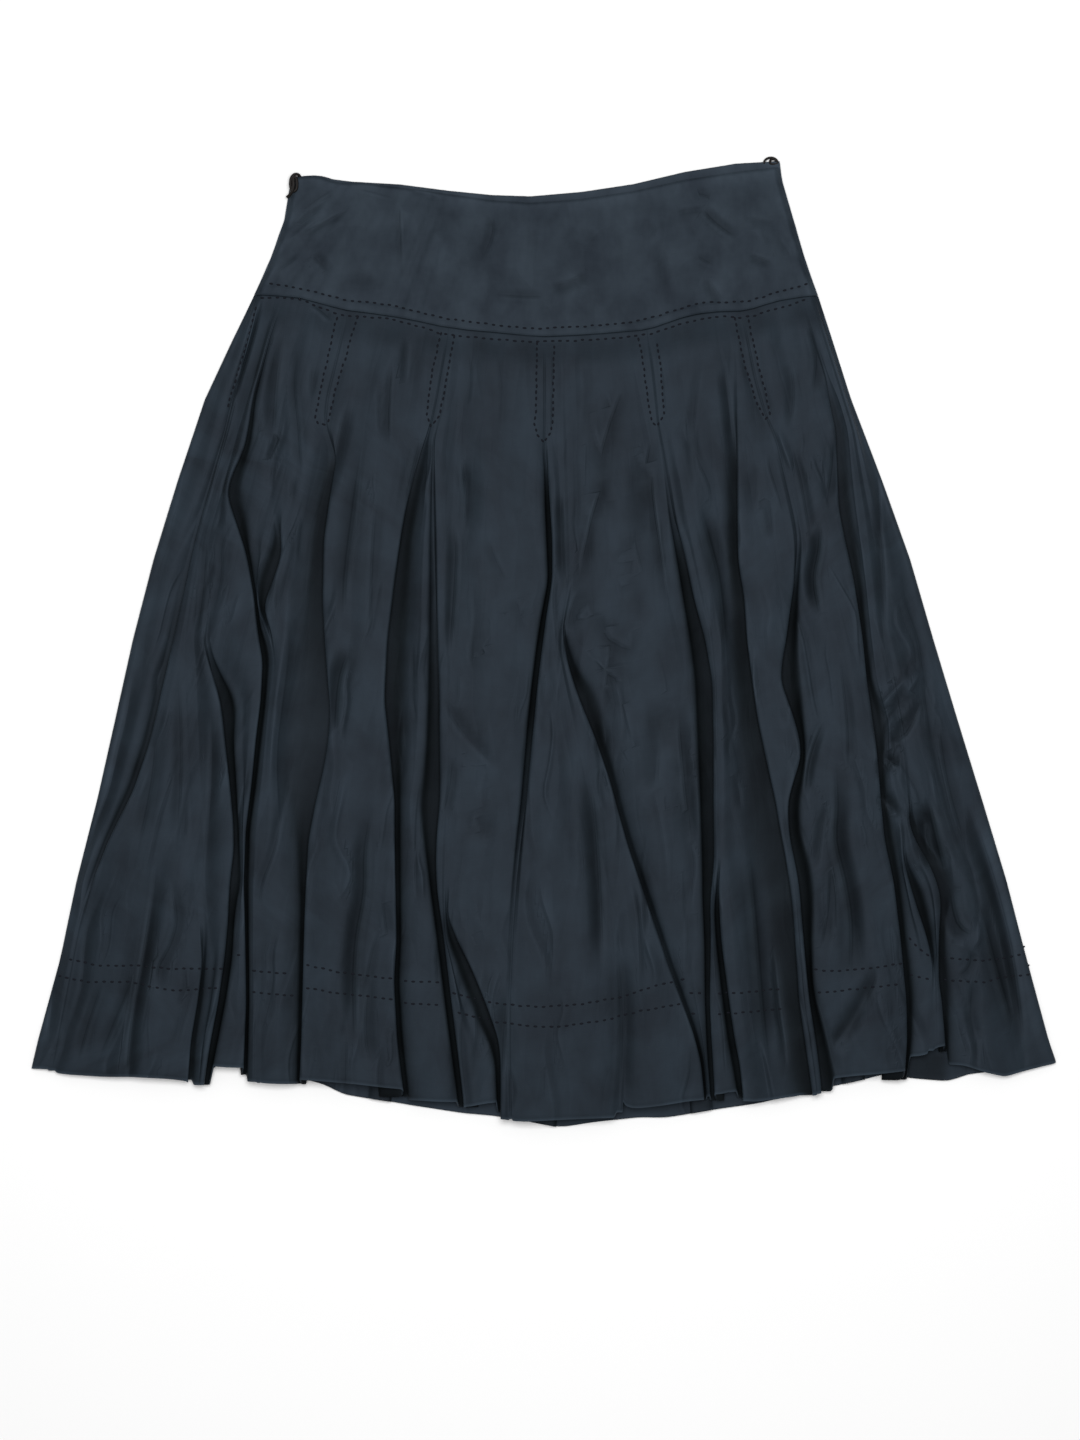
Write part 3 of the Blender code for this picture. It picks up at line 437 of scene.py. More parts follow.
# ledges of the front: fall to the right of the route, width of the fall, then the route
frontLedges = (
    (2.6, 1.6, (167, -308), (173, -330), (179, -362)),
)

# where the rows of the cloth lie below its seam and above its hem, and how long it is
rowSteps = {"seam": (0, .8, 1.8, 3.5, 6), "hem": (9, 5, 2.6, 1.2, .4, 0), "length": 590.0}

# lines of stitches: the tops of the five pleats, the placket, and one row on each side of the yoke's seam
frontBoxes = (
    ((-160.5, 254.2), (-162, 249), (-168, 220), (-175, 189), (-177.5, 175), (-175.5, 170.5),
     (-171, 169), (-167, 172), (-165.8, 177), (-162, 196.6), (-154.8, 218.4), (-145.5, 252),
     (-144.6, 253.6)),
    ((-79.4, 242.4), (-80.5, 238), (-86.2, 212), (-90, 185), (-91, 177), (-87.8, 167.7), (-80.5, 176.5),
     (-78.4, 189), (-73.7, 212), (-69.4, 240.5)),
    ((-5.1, 235), (-5.9, 181), (-7.4, 169.5), (-5, 161.5), (.4, 155.2), (6.2, 164.5), (7.4, 181),
     (8.2, 235)),
    ((73.7, 238), (77.6, 216), (80.7, 192.7), (84.6, 171), (88.5, 167.7), (94, 177), (93.2, 189),
     (90.9, 216), (87.8, 237)),
    ((148.2, 254), (150.6, 244), (154.8, 222), (160.2, 204), (166, 185), (172.8, 173.4), (176.4, 177),
     (172.2, 197), (166.2, 220), (161.8, 240), (158.8, 255.8)),
)
frontPlacket = ((-223.5, 262), (-231.3, 232), (-239.9, 204.4), (-246.5, 181))
underSeam = (
    (-222, 268), (-206, 268), (-190, 266.8), (-174, 260.5), (-155, 254.5), (-135, 253), (-119, 251.5),
    (-104, 247.6), (-89, 243.3), (-77, 239.6), (-50, 237), (-20, 234.5), (0, 234), (30, 235),
    (52, 236.2), (83, 240), (98, 245), (107, 247.5), (122, 251.2), (135, 253.5), (153, 252.8),
    (165, 254.4), (176, 258), (192, 262.5), (209, 268))
overSeam = (
    (-215, 279.6), (-190, 275.3), (-174, 271.6), (-155, 266.8), (-137, 264.6), (-119.7, 262.4),
    (-100, 257.8), (-81, 252.9), (-64, 250.2), (-49.5, 248.6), (-25, 245.6), (-2.7, 244.3),
    (28.5, 245.7), (60, 248), (75, 250.6), (87, 253.5), (99, 257.4), (114, 261.8), (126, 264.6),
    (140, 264.8), (153, 264.9), (165, 267), (184.5, 273), (207, 279.2))

frontGrooves = (
    *((-.3, 1.3, *box) for box in frontBoxes),
    (-.3, 1.2, *frontPlacket),
    (-.22, 1.1, *underSeam),
    (-1.3, 1.5, *frontOpening),
)

frontLooks = {"names": ("front_left", "front_centre", "front_right"), "splits": ("boxTwoLeft", "boxFour"),
              "creases": frontCreases, "openings": ((-3.2, 1.5, *frontOpening),),
              "ledges": frontLedges, "grooves": frontGrooves, "ripple": 1.0, "creaseGain": .9,
              "seamDip": .25, "edgeFall": .4, "crestStep": 6.0, "rowStep": 4.6, "faceDown": False,
              "shadows": ()}

# the back lies face down: its heights are from the inside out
backPleats = {
    "backOne": {
        "laps": (13, 15), "soft": (2, 3), "drop": (.3, .5), "floor": 1.3, "line": .35,
        "rows": (
            (265, -150, -149, 3.9, 3.9, 0), (200, -155.5, -154.5, 3.9, 3.9, 0),
            (165, -161, -158.5, 3.9, 3.9, .4), (80, -177.5, -174.5, 3.9, 3.9, 1),
            (2, -192, -188, 3.9, 3.9, 1), (-76, -204, -201, 3.9, 3.8, 1),
            (-154, -217.5, -213, 3.9, 3.8, 1), (-232, -229, -226.5, 3.9, 3.9, 1),
            (-310, -241.5, -238, 3.9, 3.9, 1), (-365, -248, -244, 3.9, 3.9, 1))},
    "backTwo": {
        "laps": (15, 12), "soft": (3, 1.5), "drop": (.5, .3), "floor": 1.3, "line": .35,
        "rows": (
            (265, -78, -77, 3.9, 3.9, 0), (205, -81.5, -80.5, 3.9, 3.9, 0),
            (165, -85.5, -82.5, 3.9, 3.9, .5), (80, -94, -90.5, 3.9, 3.9, 1),
            (2, -101.5, -98.5, 3.8, 3.9, 1), (-76, -110, -106, 3.8, 3.9, 1),
            (-154, -117.5, -115, 3.9, 3.9, 1), (-232, -126, -122, 3.9, 3.9, 1),
            (-310, -132.5, -129.5, 3.9, 3.9, 1), (-365, -137, -133, 3.9, 3.9, 1))},
    "backThree": {
        "laps": (14, 14), "soft": (2, 2), "drop": (.4, .4), "floor": 1.3, "line": .35,
        "rows": (
            (265, -.5, .5, 3.9, 3.9, 0), (195, .8, 1.8, 3.9, 3.9, 0), (165, .7, 3.2, 3.9, 3.9, .4),
            (80, 1.5, 5, 3.9, 3.9, 1), (2, 3.2, 6.5, 3.9, 3.8, 1), (-76, 2.5, 6, 3.9, 3.8, 1),
            (-154, .5, 3.5, 3.9, 3.9, 1), (-232, -4, 0, 3.9, 3.9, 1), (-310, -6.5, -3.5, 3.9, 3.9, 1),
            (-378, -10, -6, 3.9, 3.9, 1))},
    "backFour": {
        "laps": (12, 15), "soft": (1.5, 3), "drop": (.3, .5), "floor": 1.3, "line": .35,
        "rows": (
            (265, 75, 76, 3.9, 3.9, 0), (210, 79, 80, 3.9, 3.9, 0), (165, 81, 83.5, 3.9, 3.9, .5),
            (80, 88.5, 91.5, 3.9, 3.9, 1), (2, 96, 99.5, 3.9, 3.8, 1), (-76, 104.5, 108, 3.9, 3.8, 1),
            (-154, 110.5, 113.5, 3.9, 3.9, 1), (-232, 117, 121, 3.9, 3.9, 1),
            (-310, 124.5, 127.5, 3.9, 3.9, 1), (-365, 128.5, 132, 3.9, 3.9, 1))},
    "backFive": {
        "laps": (15, 13), "soft": (3, 2), "drop": (.5, .3), "floor": 1.3, "line": .35,
        "rows": (
            (265, 147, 148, 3.9, 3.9, 0), (200, 155, 156, 3.9, 3.9, 0),
            (165, 158.5, 161.5, 3.9, 3.9, .4), (80, 172.5, 176, 3.9, 3.9, 1),
            (2, 186.5, 189.5, 3.8, 3.9, 1), (-76, 198, 202, 3.8, 3.9, 1), (-154, 211, 214, 3.9, 3.9, 1),
            (-232, 220, 224, 3.9, 3.9, 1), (-310, 229.5, 232.5, 3.9, 3.9, 1),
            (-365, 235, 238, 3.9, 3.9, 1))},
}
backHem = (
    (-402, -325), (-345, -333), (-262, -336), (-251, -327), (-247, -328), (-232, -328), (-228, -338),
    (-190, -340), (-171, -345), (-155, -353), (-112, -359.5), (-104, -361), (-65, -367), (-38, -369.5),
    (-14, -373.5), (13, -378.5), (38, -374.5), (75, -370.5), (95, -371), (130, -365), (169, -359.5),
    (200, -352), (232, -345), (246, -342), (270, -336), (284, -340), (317, -342.5), (330, -337),
    (360, -334), (400, -325))
backCreases = (
    (-.9, 5, (-196, 150), (-214, 60), (-232, -20)), (-.7, 4, (-120, 190), (-126, 100), (-133, 30)),
    (-.9, 6, (-150, -40), (-158, -140), (-170, -240)), (-.6, 4, (-50, 170), (-54, 90), (-50, 10)),
    (-.9, 6, (-50, -120), (-60, -220), (-66, -320)), (-.7, 4, (42, 200), (46, 110), (52, 30)),
    (-.9, 6, (55, -60), (62, -170), (66, -290)), (-.6, 4, (124, 170), (136, 80), (142, 0)),
    (-.9, 6, (160, -90), (168, -190), (180, -310)), (-.8, 5, (204, 120), (226, 20), (246, -70)),
    (-.9, 6, (-270, -60), (-290, -160), (-312, -270)), (-.8, 5, (264, -120), (282, -210), (296, -300)),
    (-.6, 5, (-320, -180), (-336, -250), (-350, -310)), (-.6, 5, (330, -150), (346, -230), (360, -300)),
    (-.5, 4, (-236, 200), (-250, 140), (-262, 90)), (-.5, 4, (218, 210), (232, 150), (246, 90)),
)
backBoxes = (
    ((-142, 248), (-150, 205), (-154, 178), (-161, 168), (-166, 178), (-163, 205), (-157, 249)),
    ((-70, 239), (-75, 205), (-78, 176), (-84.5, 166), (-91, 177), (-88, 205), (-85, 241)),
    ((8, 234), (8.5, 200), (8.5, 172), (1.8, 162), (-5.5, 172), (-6, 200), (-8, 234)),
    ((83, 241), (86, 205), (89, 177), (82, 166), (75.5, 176), (73, 205), (68, 237)),
    ((155, 251), (162, 205), (166, 178), (160, 168), (153, 178), (149, 205), (140, 250)),
)
backGrooves = (*((-.25, 1.3, *box) for box in backBoxes), (-.2, 1.1, *underSeam))
# the shadows are where the front's hem lies over it: from and to across, from this y down, how dark
backLooks = {"names": ("back_panel",), "splits": (), "creases": backCreases, "openings": (), "ledges": (),
             "grooves": backGrooves, "ripple": .5, "creaseGain": 1.0, "seamDip": .4, "edgeFall": 0,
             "crestStep": 9.0, "rowStep": 8.0, "faceDown": True, "top": 4.15,
             "shadows": ((278, 318, -308, .45), (-250, -205, -312, .4))}


def smoothStep(value):
    value = np.clip(value, 0.0, 1.0)
    return value * value * (3 - 2 * value)


def readLine(line, position, column=1):
    rows = sorted(line)
    return np.interp(position, [row[0] for row in rows], [row[column] for row in rows])


def fromSide(x, y):
    return np.minimum(x - readLine(sideSeams, y, atLeft), readLine(sideSeams, y, atRight) - x)


def addObject(name, data):
    made = bpy.data.objects.new(name, data)
    bpy.context.scene.collection.objects.link(made)
    return made


# columns of a pleat's rows, the first two also of the side seams
atLeft, atRight, leftHeight, rightHeight, howOpen = range(1, 6)
# how closely a pleat's rows are read, and the length over which its lips and its heights are evened
reading = {"from": -400.0, "to": 290.0, "step": 2.0, "lips": 5.0, "heights": 16.0, "reach": 1.5}


def softened(rows):
    heights = np.arange(reading["from"], reading["to"], reading["step"])
    columns = [heights]
    for column in range(1, len(rows[0])):
        blur = reading["heights"] if column in (leftHeight, rightHeight) else reading["lips"]
        reach = int(blur * reading["reach"])
        weights = np.exp(-((np.arange(-reach, reach + 1) * reading["step"] / blur) ** 2) / 2)
        weights /= weights.sum()
        values = readLine(rows, heights, column)
        padded = np.pad(values, reach, mode="edge")
        columns.append(np.convolve(padded, weights, mode="valid"))
    return columns


def restHeight(x, y, part):
    inward = fromSide(x, y)
    rise = cloth["yokeRise"] * smoothStep(inward / cloth["riseWidth"])
    below = cloth["panelRise"] * smoothStep(part / cloth["panelRiseShare"])
    return cloth["sideHeight"] + rise + below * smoothStep(inward / cloth["panelRiseWidth"])


print("front panel: pleats")

# Across a pleat, from the side that rolls down softly to the crisp lip that it dips under: how far
# along the gap, how far under the lip, what part of each fall is left, how much painted shade it gets
# (below 0: a painted highlight along the lip's edge), how much on top, how far it stands out over its
# own face (by the width of that side, and besides), how far each face dips towards its lip, and how
# much more painted shade a dark trough gets.
profile = {
    "gap": (0, 0, 0, .2, .5, .8, 1, 1, 1, 1, 1, 1, 1, 1, 1, 1, 1),
    "under": (0, 0, 0, 0, 0, 0, .25, .6, 1, 1, .8, .4, 0, 0, 0, 0, 0),
    "softFall": (0, 0, 0, .8, .45, .15, 0, 0, 0, 0, 0, 0, 0, 0, 0, 0, 0),
    "crispFall": (0, 0, 0, 0, 0, 0, 0, 0, .05, .14, .28, .4, .62, .84, 0, 0, 0),
    "paintedShading": (0, 0, .08, .3, .6, .88, 1, 1, 1, 1, 1, 1, .85, .25, -.35, -.15, 0),
    "top": (1, 1, .9, .6, .3, .1, 0, 0, 0, 0, 0, 0, 0, .5, .9, 1, 1),
    "outByWidth": (1, .45, 0, 0, 0, 0, 0, 0, 0, 0, 0, 0, 0, 0, 0, .4, 1),
    "outBesides": (4, 1.5, 0, 0, 0, 0, 0, 0, 0, .8, 0, 0, 1, -.2, .5, 1.2, 4),
    "softDip": (0, .25, .8, 0, 0, 0, 0, 0, 0, 0, 0, 0, 0, 0, 0, 0, 0),
    "crispDip": (0, 0, 0, 0, 0, 0, 0, 0, 0, 0, 0, 0, 0, 0, .8, .3, 0),
    "trough": (0, .1, .3, .5, .4, .15, 0, 0, 0, 0, 0, 0, 0, 0, 0, 0, 0),
}
profile = {key: np.array(values, dtype=float) for key, values in profile.items()}
pleatColumns = len(profile["gap"])
middleColumn = pleatColumns // 2
faceColumns = 3
lipColumns = 4

# the least lap under a lip, what part of the next crest's width a lap and an edge may take, the flat
# width of a closed pleat, the width of its pressed line, and the depth that counts as a full one
folding = {"leastLap": .6, "lapShare": .45, "lapSpare": 2.0, "outShare": .45, "steepShare": .8,
           "flatShare": .3, "mostFlat": 4.5, "lineWidth": .7, "fullDepth": 6.0, "openGain": 1.2}


class Pleat:
    def __init__(self, name, values):
        self.name = name
        self.values = {**pleatDefaults, **values}
        self.columns = softened(values["rows"])

    def read(self, y, column):
        return np.interp(y, self.columns[0], self.columns[column])


def pleatPoints(pleat, before, after, y):
    softLeft = pleat.values["soft"][0] >= pleat.values["soft"][1]
    sign, order = (1, slice(None)) if softLeft else (-1, slice(None, None, -1))
    y = y[order]
    which = np.arange(pleatColumns)
    left, right = pleat.read(y, atLeft), pleat.read(y, atRight)
    roomLeft = np.maximum(left - before(y), 1.0)
    roomRight = np.maximum(after(y) - right, 1.0)
    roomSoft, roomCrisp = (roomLeft, roomRight) if softLeft else (roomRight, roomLeft)
    softX, crispX = (left, right) if softLeft else (right, left)
    faces = (pleat.read(y, leftHeight), pleat.read(y, rightHeight))
    pick = 0 if softLeft else 1
    softFace, crispFace = faces[pick], faces[1 - pick]
    softWidth, crispWidth = pleat.values["soft"][pick], pleat.values["soft"][1 - pick]
    softDrop, crispDrop = pleat.values["drop"][pick], pleat.values["drop"][1 - pick]
    floor = pleat.values["floor"]
    openness = pleat.read(y, howOpen)
    sink, wide = smoothStep(openness * 2), smoothStep(openness * 2 - 1)
    lapRoom = np.maximum(folding["lapShare"] * roomCrisp - folding["lapSpare"], 0)
    lap = folding["leastLap"] + wide * np.minimum(pleat.values["laps"][1 - pick], lapRoom)
    steep = folding["steepShare"] * pleat.values["steep"]
    gap = np.where(profile["gap"] < 1, profile["gap"] * (1 - steep), 1.0)
    x = softX + (crispX - softX) * gap + sign * profile["under"] * lap
    softSide = which < middleColumn
    outward = profile["outByWidth"] * np.where(softSide, softWidth, crispWidth) + profile["outBesides"]
    outSoft = np.minimum(outward, folding["outShare"] * roomSoft)
    outCrisp = np.minimum(outward, folding["outShare"] * roomCrisp)
    x = x - sign * np.where(softSide, outSoft, -outCrisp)
    z = floor + profile["softFall"] * (softFace - softDrop - floor)
    z = z + profile["crispFall"] * (crispFace - crispDrop - floor)
    z = np.where(which < faceColumns, softFace - softDrop * profile["softDip"], z)
    z = np.where(which >= pleatColumns - faceColumns, crispFace - crispDrop * profile["crispDip"], z)
    # where the pleat is closed, its columns lie side by side on the flat cloth
    centre = (left + right) / 2
    flat = np.minimum(folding["mostFlat"], folding["flatShare"] * np.minimum(roomLeft, roomRight))
    closedX = centre + sign * flat * (which - middleColumn) / middleColumn
    pressed = pleat.values["line"] * np.exp(-((closedX - centre) / folding["lineWidth"]) ** 2)
    mix = smoothStep(which / (pleatColumns - 1))
    level = softFace * (1 - mix) + crispFace * mix
    x = closedX * (1 - sink) + x * sink
    z = (level - pressed) * (1 - sink) + z * sink
    # a deep narrow trough gets little light, a shallow or a wide one gets more
    fall = np.clip(((softFace + crispFace) / 2 - floor) / folding["fullDepth"], 0, 1)
    narrow = 1 / (1 + ((right - left) / cloth["troughWidth"]) ** 2)
    depth = cloth["troughShade"] * smoothStep(openness * folding["openGain"]) * fall * narrow
    # painted shade down in the gap and under the lip, deeper in a dark trough, and a painted highlight along
    # the crisp lip's edge, only where the pleat is open
    paintedShading = np.minimum(profile["paintedShading"] + depth * profile["trough"], 1)
    paintedShading = np.where(paintedShading > 0, paintedShading * depth, paintedShading * pleat.values["rimHighlight"]) * sink
    top = 1 - (1 - profile["top"]) * sink
    return x[order], z[order], paintedShading[order], top[order]


# columns at each side of a panel: how far in from the edge each one is, and what part it has of the
# height that the cloth reaches at sideReach
sideRound = ((0.0, 0.0), (.4, .55), (2.4, .95))
sideColumns = len(sideRound)
sideReach = 4.0
# a crest between two pleats bulges by a part of its width, when it is raised
crest = {"share": .022, "most": 2.0, "raisedFrom": 6.5, "raisedOver": 4.0, "power": .8}
# where the cloth is thought to lie before its seam and its hem are found, in a few rounds
guess = {"crests": -330.0, "seam": 255.0, "hem": -350.0, "rounds": 4}


def buildPanelGrid(pleatTable, hems, rest, edgeFall, crestStep):
    pleats = [Pleat(name, values) for name, values in pleatTable.items()]
    count = len(pleats)
    crestCounts = []
    for k in range(count + 1):
        y = guess["crests"]
        start = pleats[k - 1].read(y, atRight) if k else readLine(sideSeams, y, atLeft)
        end = pleats[k].read(y, atLeft) if k < count else readLine(sideSeams, y, atRight)
        crestCounts.append(int(max(2, round((end - start) / crestStep))))
    total = 2 * sideColumns + pleatColumns * count + sum(crestCounts)
    spans = []
    position = sideColumns + crestCounts[0]
    for k in range(count):
        spans.append(slice(position, position + pleatColumns))
        position += pleatColumns + crestCounts[k + 1]

    def sectionAt(y, part):
        x, z = np.zeros(total), np.zeros(total)
        paintedShading, top = np.zeros(total), np.ones(total)
        for k, pleat in enumerate(pleats):
            def before(at, k=k):
                return pleats[k - 1].read(at, atRight) if k else readLine(sideSeams, at, atLeft)

            def after(at, k=k):
                if k + 1 < count:
                    return pleats[k + 1].read(at, atLeft)
                return readLine(sideSeams, at, atRight)

            span = spans[k]
            x[span], z[span], paintedShading[span], top[span] = pleatPoints(pleat, before, after, y[span])
        for end, side, column in ((0, 1, atLeft), (total - 1, -1, atRight)):
            for step, (inward, lift) in enumerate(sideRound):
                pick = end + side * step
                edge = readLine(sideSeams, y[pick], column)
                x[pick] = edge + side * inward
                low = rest(edge, y[pick], part) - edgeFall
                z[pick] = low + (rest(edge + side * sideReach, y[pick], part) - low) * lift
        for k in range(count + 1):
            first = sideColumns - 1 if k == 0 else spans[k - 1].stop - 1
            last = total - sideColumns if k == count else spans[k].start
            t = np.arange(1, crestCounts[k] + 1) / (crestCounts[k] + 1)
            inside = slice(first + 1, first + 1 + crestCounts[k])
            x[inside] = x[first] * (1 - t) + x[last] * t
            width = abs(x[last] - x[first])
            raised = smoothStep((max(z[first], z[last]) - crest["raisedFrom"]) / crest["raisedOver"])
            bulge = min(crest["share"] * width, crest["most"]) * raised * (4 * t * (1 - t)) ** crest["power"]
            z[inside] = z[first] + (z[last] - z[first]) * smoothStep(t) + bulge
        return x, z, paintedShading, top

    hemY = np.full(total, guess["hem"])
    if len(hems) == count + 1:
        for k, hem in enumerate(hems):
            first = 0 if k == 0 else spans[k - 1].stop - lipColumns
            last = total - 1 if k == count else spans[k].start + lipColumns - 1
            t = np.linspace(0, 1, last - first + 1)
            hemY[first:last + 1] = np.interp(t, np.linspace(0, 1, len(hem)), hem)
    else:  # one line right across
        for _ in range(guess["rounds"]):
            hemY = readLine(hems, sectionAt(hemY, 1.0)[0])
    for pleat, span in zip(pleats, spans):
        if "hem" in pleat.values:
            hemY[span.start + lipColumns:span.stop - lipColumns] = pleat.values["hem"]
    seamY = np.full(total, guess["seam"])
    for _ in range(guess["rounds"]):
        seamY = readLine(yokeSeam, sectionAt(seamY, 0.0)[0]) - cloth["seamGap"]
    return pleats, sectionAt, hemY, seamY, spans


def levels(length, rowStep):
    first = [step / length for step in rowSteps["seam"]]
    last = [1 - step / length for step in rowSteps["hem"]]
    count = int((last[0] - first[-1]) * length / rowStep)
    between = np.linspace(first[-1], last[0], count + 1)[1:-1]
    return np.array(first + list(between) + last)


def splineRows(values):
    # a cubic spline through a row, read at every point and halfway to the next
    before = 2 * values[0] - values[1]
    after = 2 * values[-1] - values[-2]
    p = np.concatenate([[before], values, [after]])
    at = (p[:-2] + 4 * p[1:-1] + p[2:]) / 6
    q = np.concatenate([p, [after]])
    half = (q[:-4] + 23 * q[1:-3] + 23 * q[2:-2] + q[3:-1]) / 48
    result = np.empty(len(at) + len(half))
    result[0::2] = at
    result[1::2] = half
    return result


def routeDistance(x, y, route):
    best = np.full(x.shape, 1e9)
    along = np.zeros(x.shape)
    sideways = np.zeros(x.shape)
    lengths = [math.dist(a, b) for a, b in zip(route, route[1:])]
    whole = sum(lengths)
    passed = 0.0
    for (ax, ay), (bx, by), length in zip(route, route[1:], lengths):
        dx, dy = (bx - ax) / length, (by - ay) / length
        t = np.clip((x - ax) * dx + (y - ay) * dy, 0, length)
        offX, offY = x - (ax + dx * t), y - (ay + dy * t)
        distance = np.hypot(offX, offY)
        nearer = distance < best
        best = np.where(nearer, distance, best)
        along = np.where(nearer, (passed + t) / whole, along)
        sideways = np.where(nearer, offY * dx - offX * dy, sideways)
        passed += length
    return best, along, sideways


def smoothRoute(route, steps=6):
    start = 2 * Vector(route[0]) - Vector(route[1])
    end = 2 * Vector(route[-1]) - Vector(route[-2])
    points = [start, *map(Vector, route), end]
    curve = []
    for a, b, c, d in zip(points, points[1:], points[2:], points[3:]):
        for index in range(steps):
            t = index / steps
            curve.append(.5 * ((2 * b) + (c - a) * t + (2 * a - 5 * b + 4 * c - d) * t * t
                               + (3 * b - a - 3 * c + d) * t ** 3))
    curve.append(Vector(route[-1]))
    return [tuple(point) for point in curve]


# how far a crease is followed past its width, how it fades to its ends, and the same for a ledge
routing = {"steps": 3, "reach": 3, "taper": .3, "ledgeReach": 14.0}


def besideRoute(x, y, route, reach):
    xs, ys = [point[0] for point in route], [point[1] for point in route]
    return ((x > min(xs) - reach) & (x < max(xs) + reach)
            & (y > min(ys) - reach) & (y < max(ys) + reach))


def tapered(along):
    return smoothStep(along / routing["taper"]) * smoothStep((1 - along) / routing["taper"])


def creased(x, y, creases, ledges=(), spread=1.0):
    lift = np.zeros(x.shape)
    for depth, width, *route in creases:
        near = besideRoute(x, y, route, routing["reach"] * width * spread)
        distance, along, _ = routeDistance(x[near], y[near], smoothRoute(route, routing["steps"]))
        lift[near] += depth * tapered(along) * np.exp(-(distance / width / spread) ** 2)
    for fall, width, *route in ledges:
        distance, along, sideways = routeDistance(x, y, smoothRoute(route, routing["steps"]))
        taper = smoothStep(along / routing["taper"]) * np.exp(-(distance / routing["ledgeReach"]) ** 2)
        lift -= fall * taper * smoothStep(.5 - sideways / width)
    return lift


# for the shading: how many widths from a crease it counts, and where it ends and meets another
creaseEdges = {"farSide": 5.0, "least": 1e-6, "spread": 1.5, "end": 2.5, "fade": .8, "meeting": .8}


def creaseField(x, y, creases, crispSide):
    far, least = creaseEdges["farSide"], creaseEdges["least"]
    side, deep = np.full(x.shape, far), np.zeros(x.shape)
    best, second = np.full(x.shape, least), np.full(x.shape, least)
    for index, (depth, width, *route) in enumerate(creases):
        near = besideRoute(x, y, route, far * width)
        distance, along, sideways = routeDistance(x[near], y[near], smoothRoute(route, routing["steps"]))
        taper = tapered(along)
        closeness = abs(depth) * taper * np.exp(-(distance / width / creaseEdges["spread"]) ** 2)
        turned = crispSide[index % len(crispSide)]
        nearest = closeness > best[near]
        second[near] = np.where(nearest, best[near], np.maximum(second[near], closeness))
        best[near] = np.maximum(best[near], closeness)
        side[near] = np.where(nearest, np.clip(turned * sideways / width, -far, far), side[near])
        inside = smoothStep((creaseEdges["end"] - distance / width) / creaseEdges["fade"])
        deep[near] = np.where(nearest, -depth * taper * inside, deep[near])
    return side, deep * smoothStep((best - second) / (creaseEdges["meeting"] * best))  # none where two meet


# small creases that the cloth took in wear, most of them low down and along the folds
wrinkles = {"count": 230, "seed": 11, "lengths": (30.0, 130.0), "widths": (1.4, 3.4), "depths": (.2, 1.0),
            "highest": 205, "spread": 520, "lowPower": .75, "sideMargin": 12, "lean": .08, "bend": 2.6,
            "bendLength": 85, "ridges": .45, "shade": .03, "height": .6,
            "crispSide": (1, -1, -1, 1, -1, 1, 1)}


def wrinkleRoutes():
    random = np.random.RandomState(wrinkles["seed"])
    margin = wrinkles["sideMargin"]
    routes = []
    for _ in range(wrinkles["count"]):
        y = wrinkles["highest"] - wrinkles["spread"] * random.rand() ** wrinkles["lowPower"]
        left, right = readLine(sideSeams, y, atLeft), readLine(sideSeams, y, atRight)
        x = random.uniform(left + margin, right - margin)
        length = random.uniform(*wrinkles["lengths"])
        slope = x / (cloth["flarePoint"] - y) + random.normal(0, wrinkles["lean"])
        bends = random.normal(0, wrinkles["bend"] * length / wrinkles["bendLength"], 5)
        route = [(x + slope * length * t + bend, y - length * t)
                 for t, bend in zip((0, .25, .5, .75, 1), bends)]
        depth = random.uniform(*wrinkles["depths"]) * (1 if random.rand() < wrinkles["ridges"] else -1)
        routes.append((depth, random.uniform(*wrinkles["widths"]), *route))
    return routes


def flaredAcross(x, y):  # lines fan out from one point
    return x * (cloth["flarePoint"] + cloth["flareLevel"]) / (cloth["flarePoint"] - y)


# long low waves down the cloth, added up: the height of their sum, and how each one varies
ripple = {"count": 18, "seed": 7, "height": .5, "usualSum": 1.8, "widths": (24.0, 75.0), "lean": .12,
          "length": 230.0, "lengthSpread": (.6, 1.6), "drift": (40, 110)}


def ripples(x, y):
    random = np.random.RandomState(ripple["seed"])
    flared = flaredAcross(x, y)
    lift = np.zeros(x.shape)
    narrow, wide = ripple["widths"]
    for _ in range(ripple["count"]):
        width = narrow * (wide / narrow) ** random.rand()
        lean = random.uniform(-ripple["lean"], ripple["lean"])
        phase, other = random.rand(2) * 2 * math.pi
        length = ripple["length"] * random.uniform(*ripple["lengthSpread"])
        fade = .5 + .5 * np.sin(2 * math.pi * y / length + other + flared / random.uniform(*ripple["drift"]))
        lift += (width / wide) * fade * np.sin(2 * math.pi * (flared + lean * y) / width + phase)
    return lift * ripple["height"] / ripple["usualSum"]


def gridMesh(name, xs, ys, zs, attributes, flip=False):
    rows, columns = xs.shape[0] - 1, xs.shape[1] - 1
    mesh = bpy.data.meshes.new(name)
    sheet = bmesh.new()
    bmesh.ops.create_grid(sheet, x_segments=columns, y_segments=rows, size=1.0)
    sheet.verts.ensure_lookup_table()
    layers = {key: sheet.verts.layers.float.new(key) for key in attributes}
    uv = sheet.loops.layers.uv.new("clothUV")
    place = {}
    for vertex in sheet.verts:
        column = round((vertex.co.x + 1) / 2 * columns)
        row = round((1 - vertex.co.y) / 2 * rows)
        place[vertex.index] = (row, column)
        vertex.co = (xs[row, column] * mm, ys[row, column] * mm, zs[row, column] * mm)
        for key, layer in layers.items():
            vertex[layer] = attributes[key][row, column]
    across, along = attributes["acrossCloth"], attributes["alongCloth"]
    for face in sheet.faces:
        face.smooth = True
        for loop in face.loops:
            row, column = place[loop.vert.index]
            loop[uv].uv = (across[row, column], along[row, column])
    if flip:
        bmesh.ops.reverse_faces(sheet, faces=sheet.faces)
    sheet.to_mesh(mesh)
    sheet.free()
    return addObject(name, mesh)


def addWall(piece, thickness):
    wall = piece.modifiers.new("wall", "SOLIDIFY")
    wall.offset = -1.0
    wall.thickness = thickness * mm
    return wall


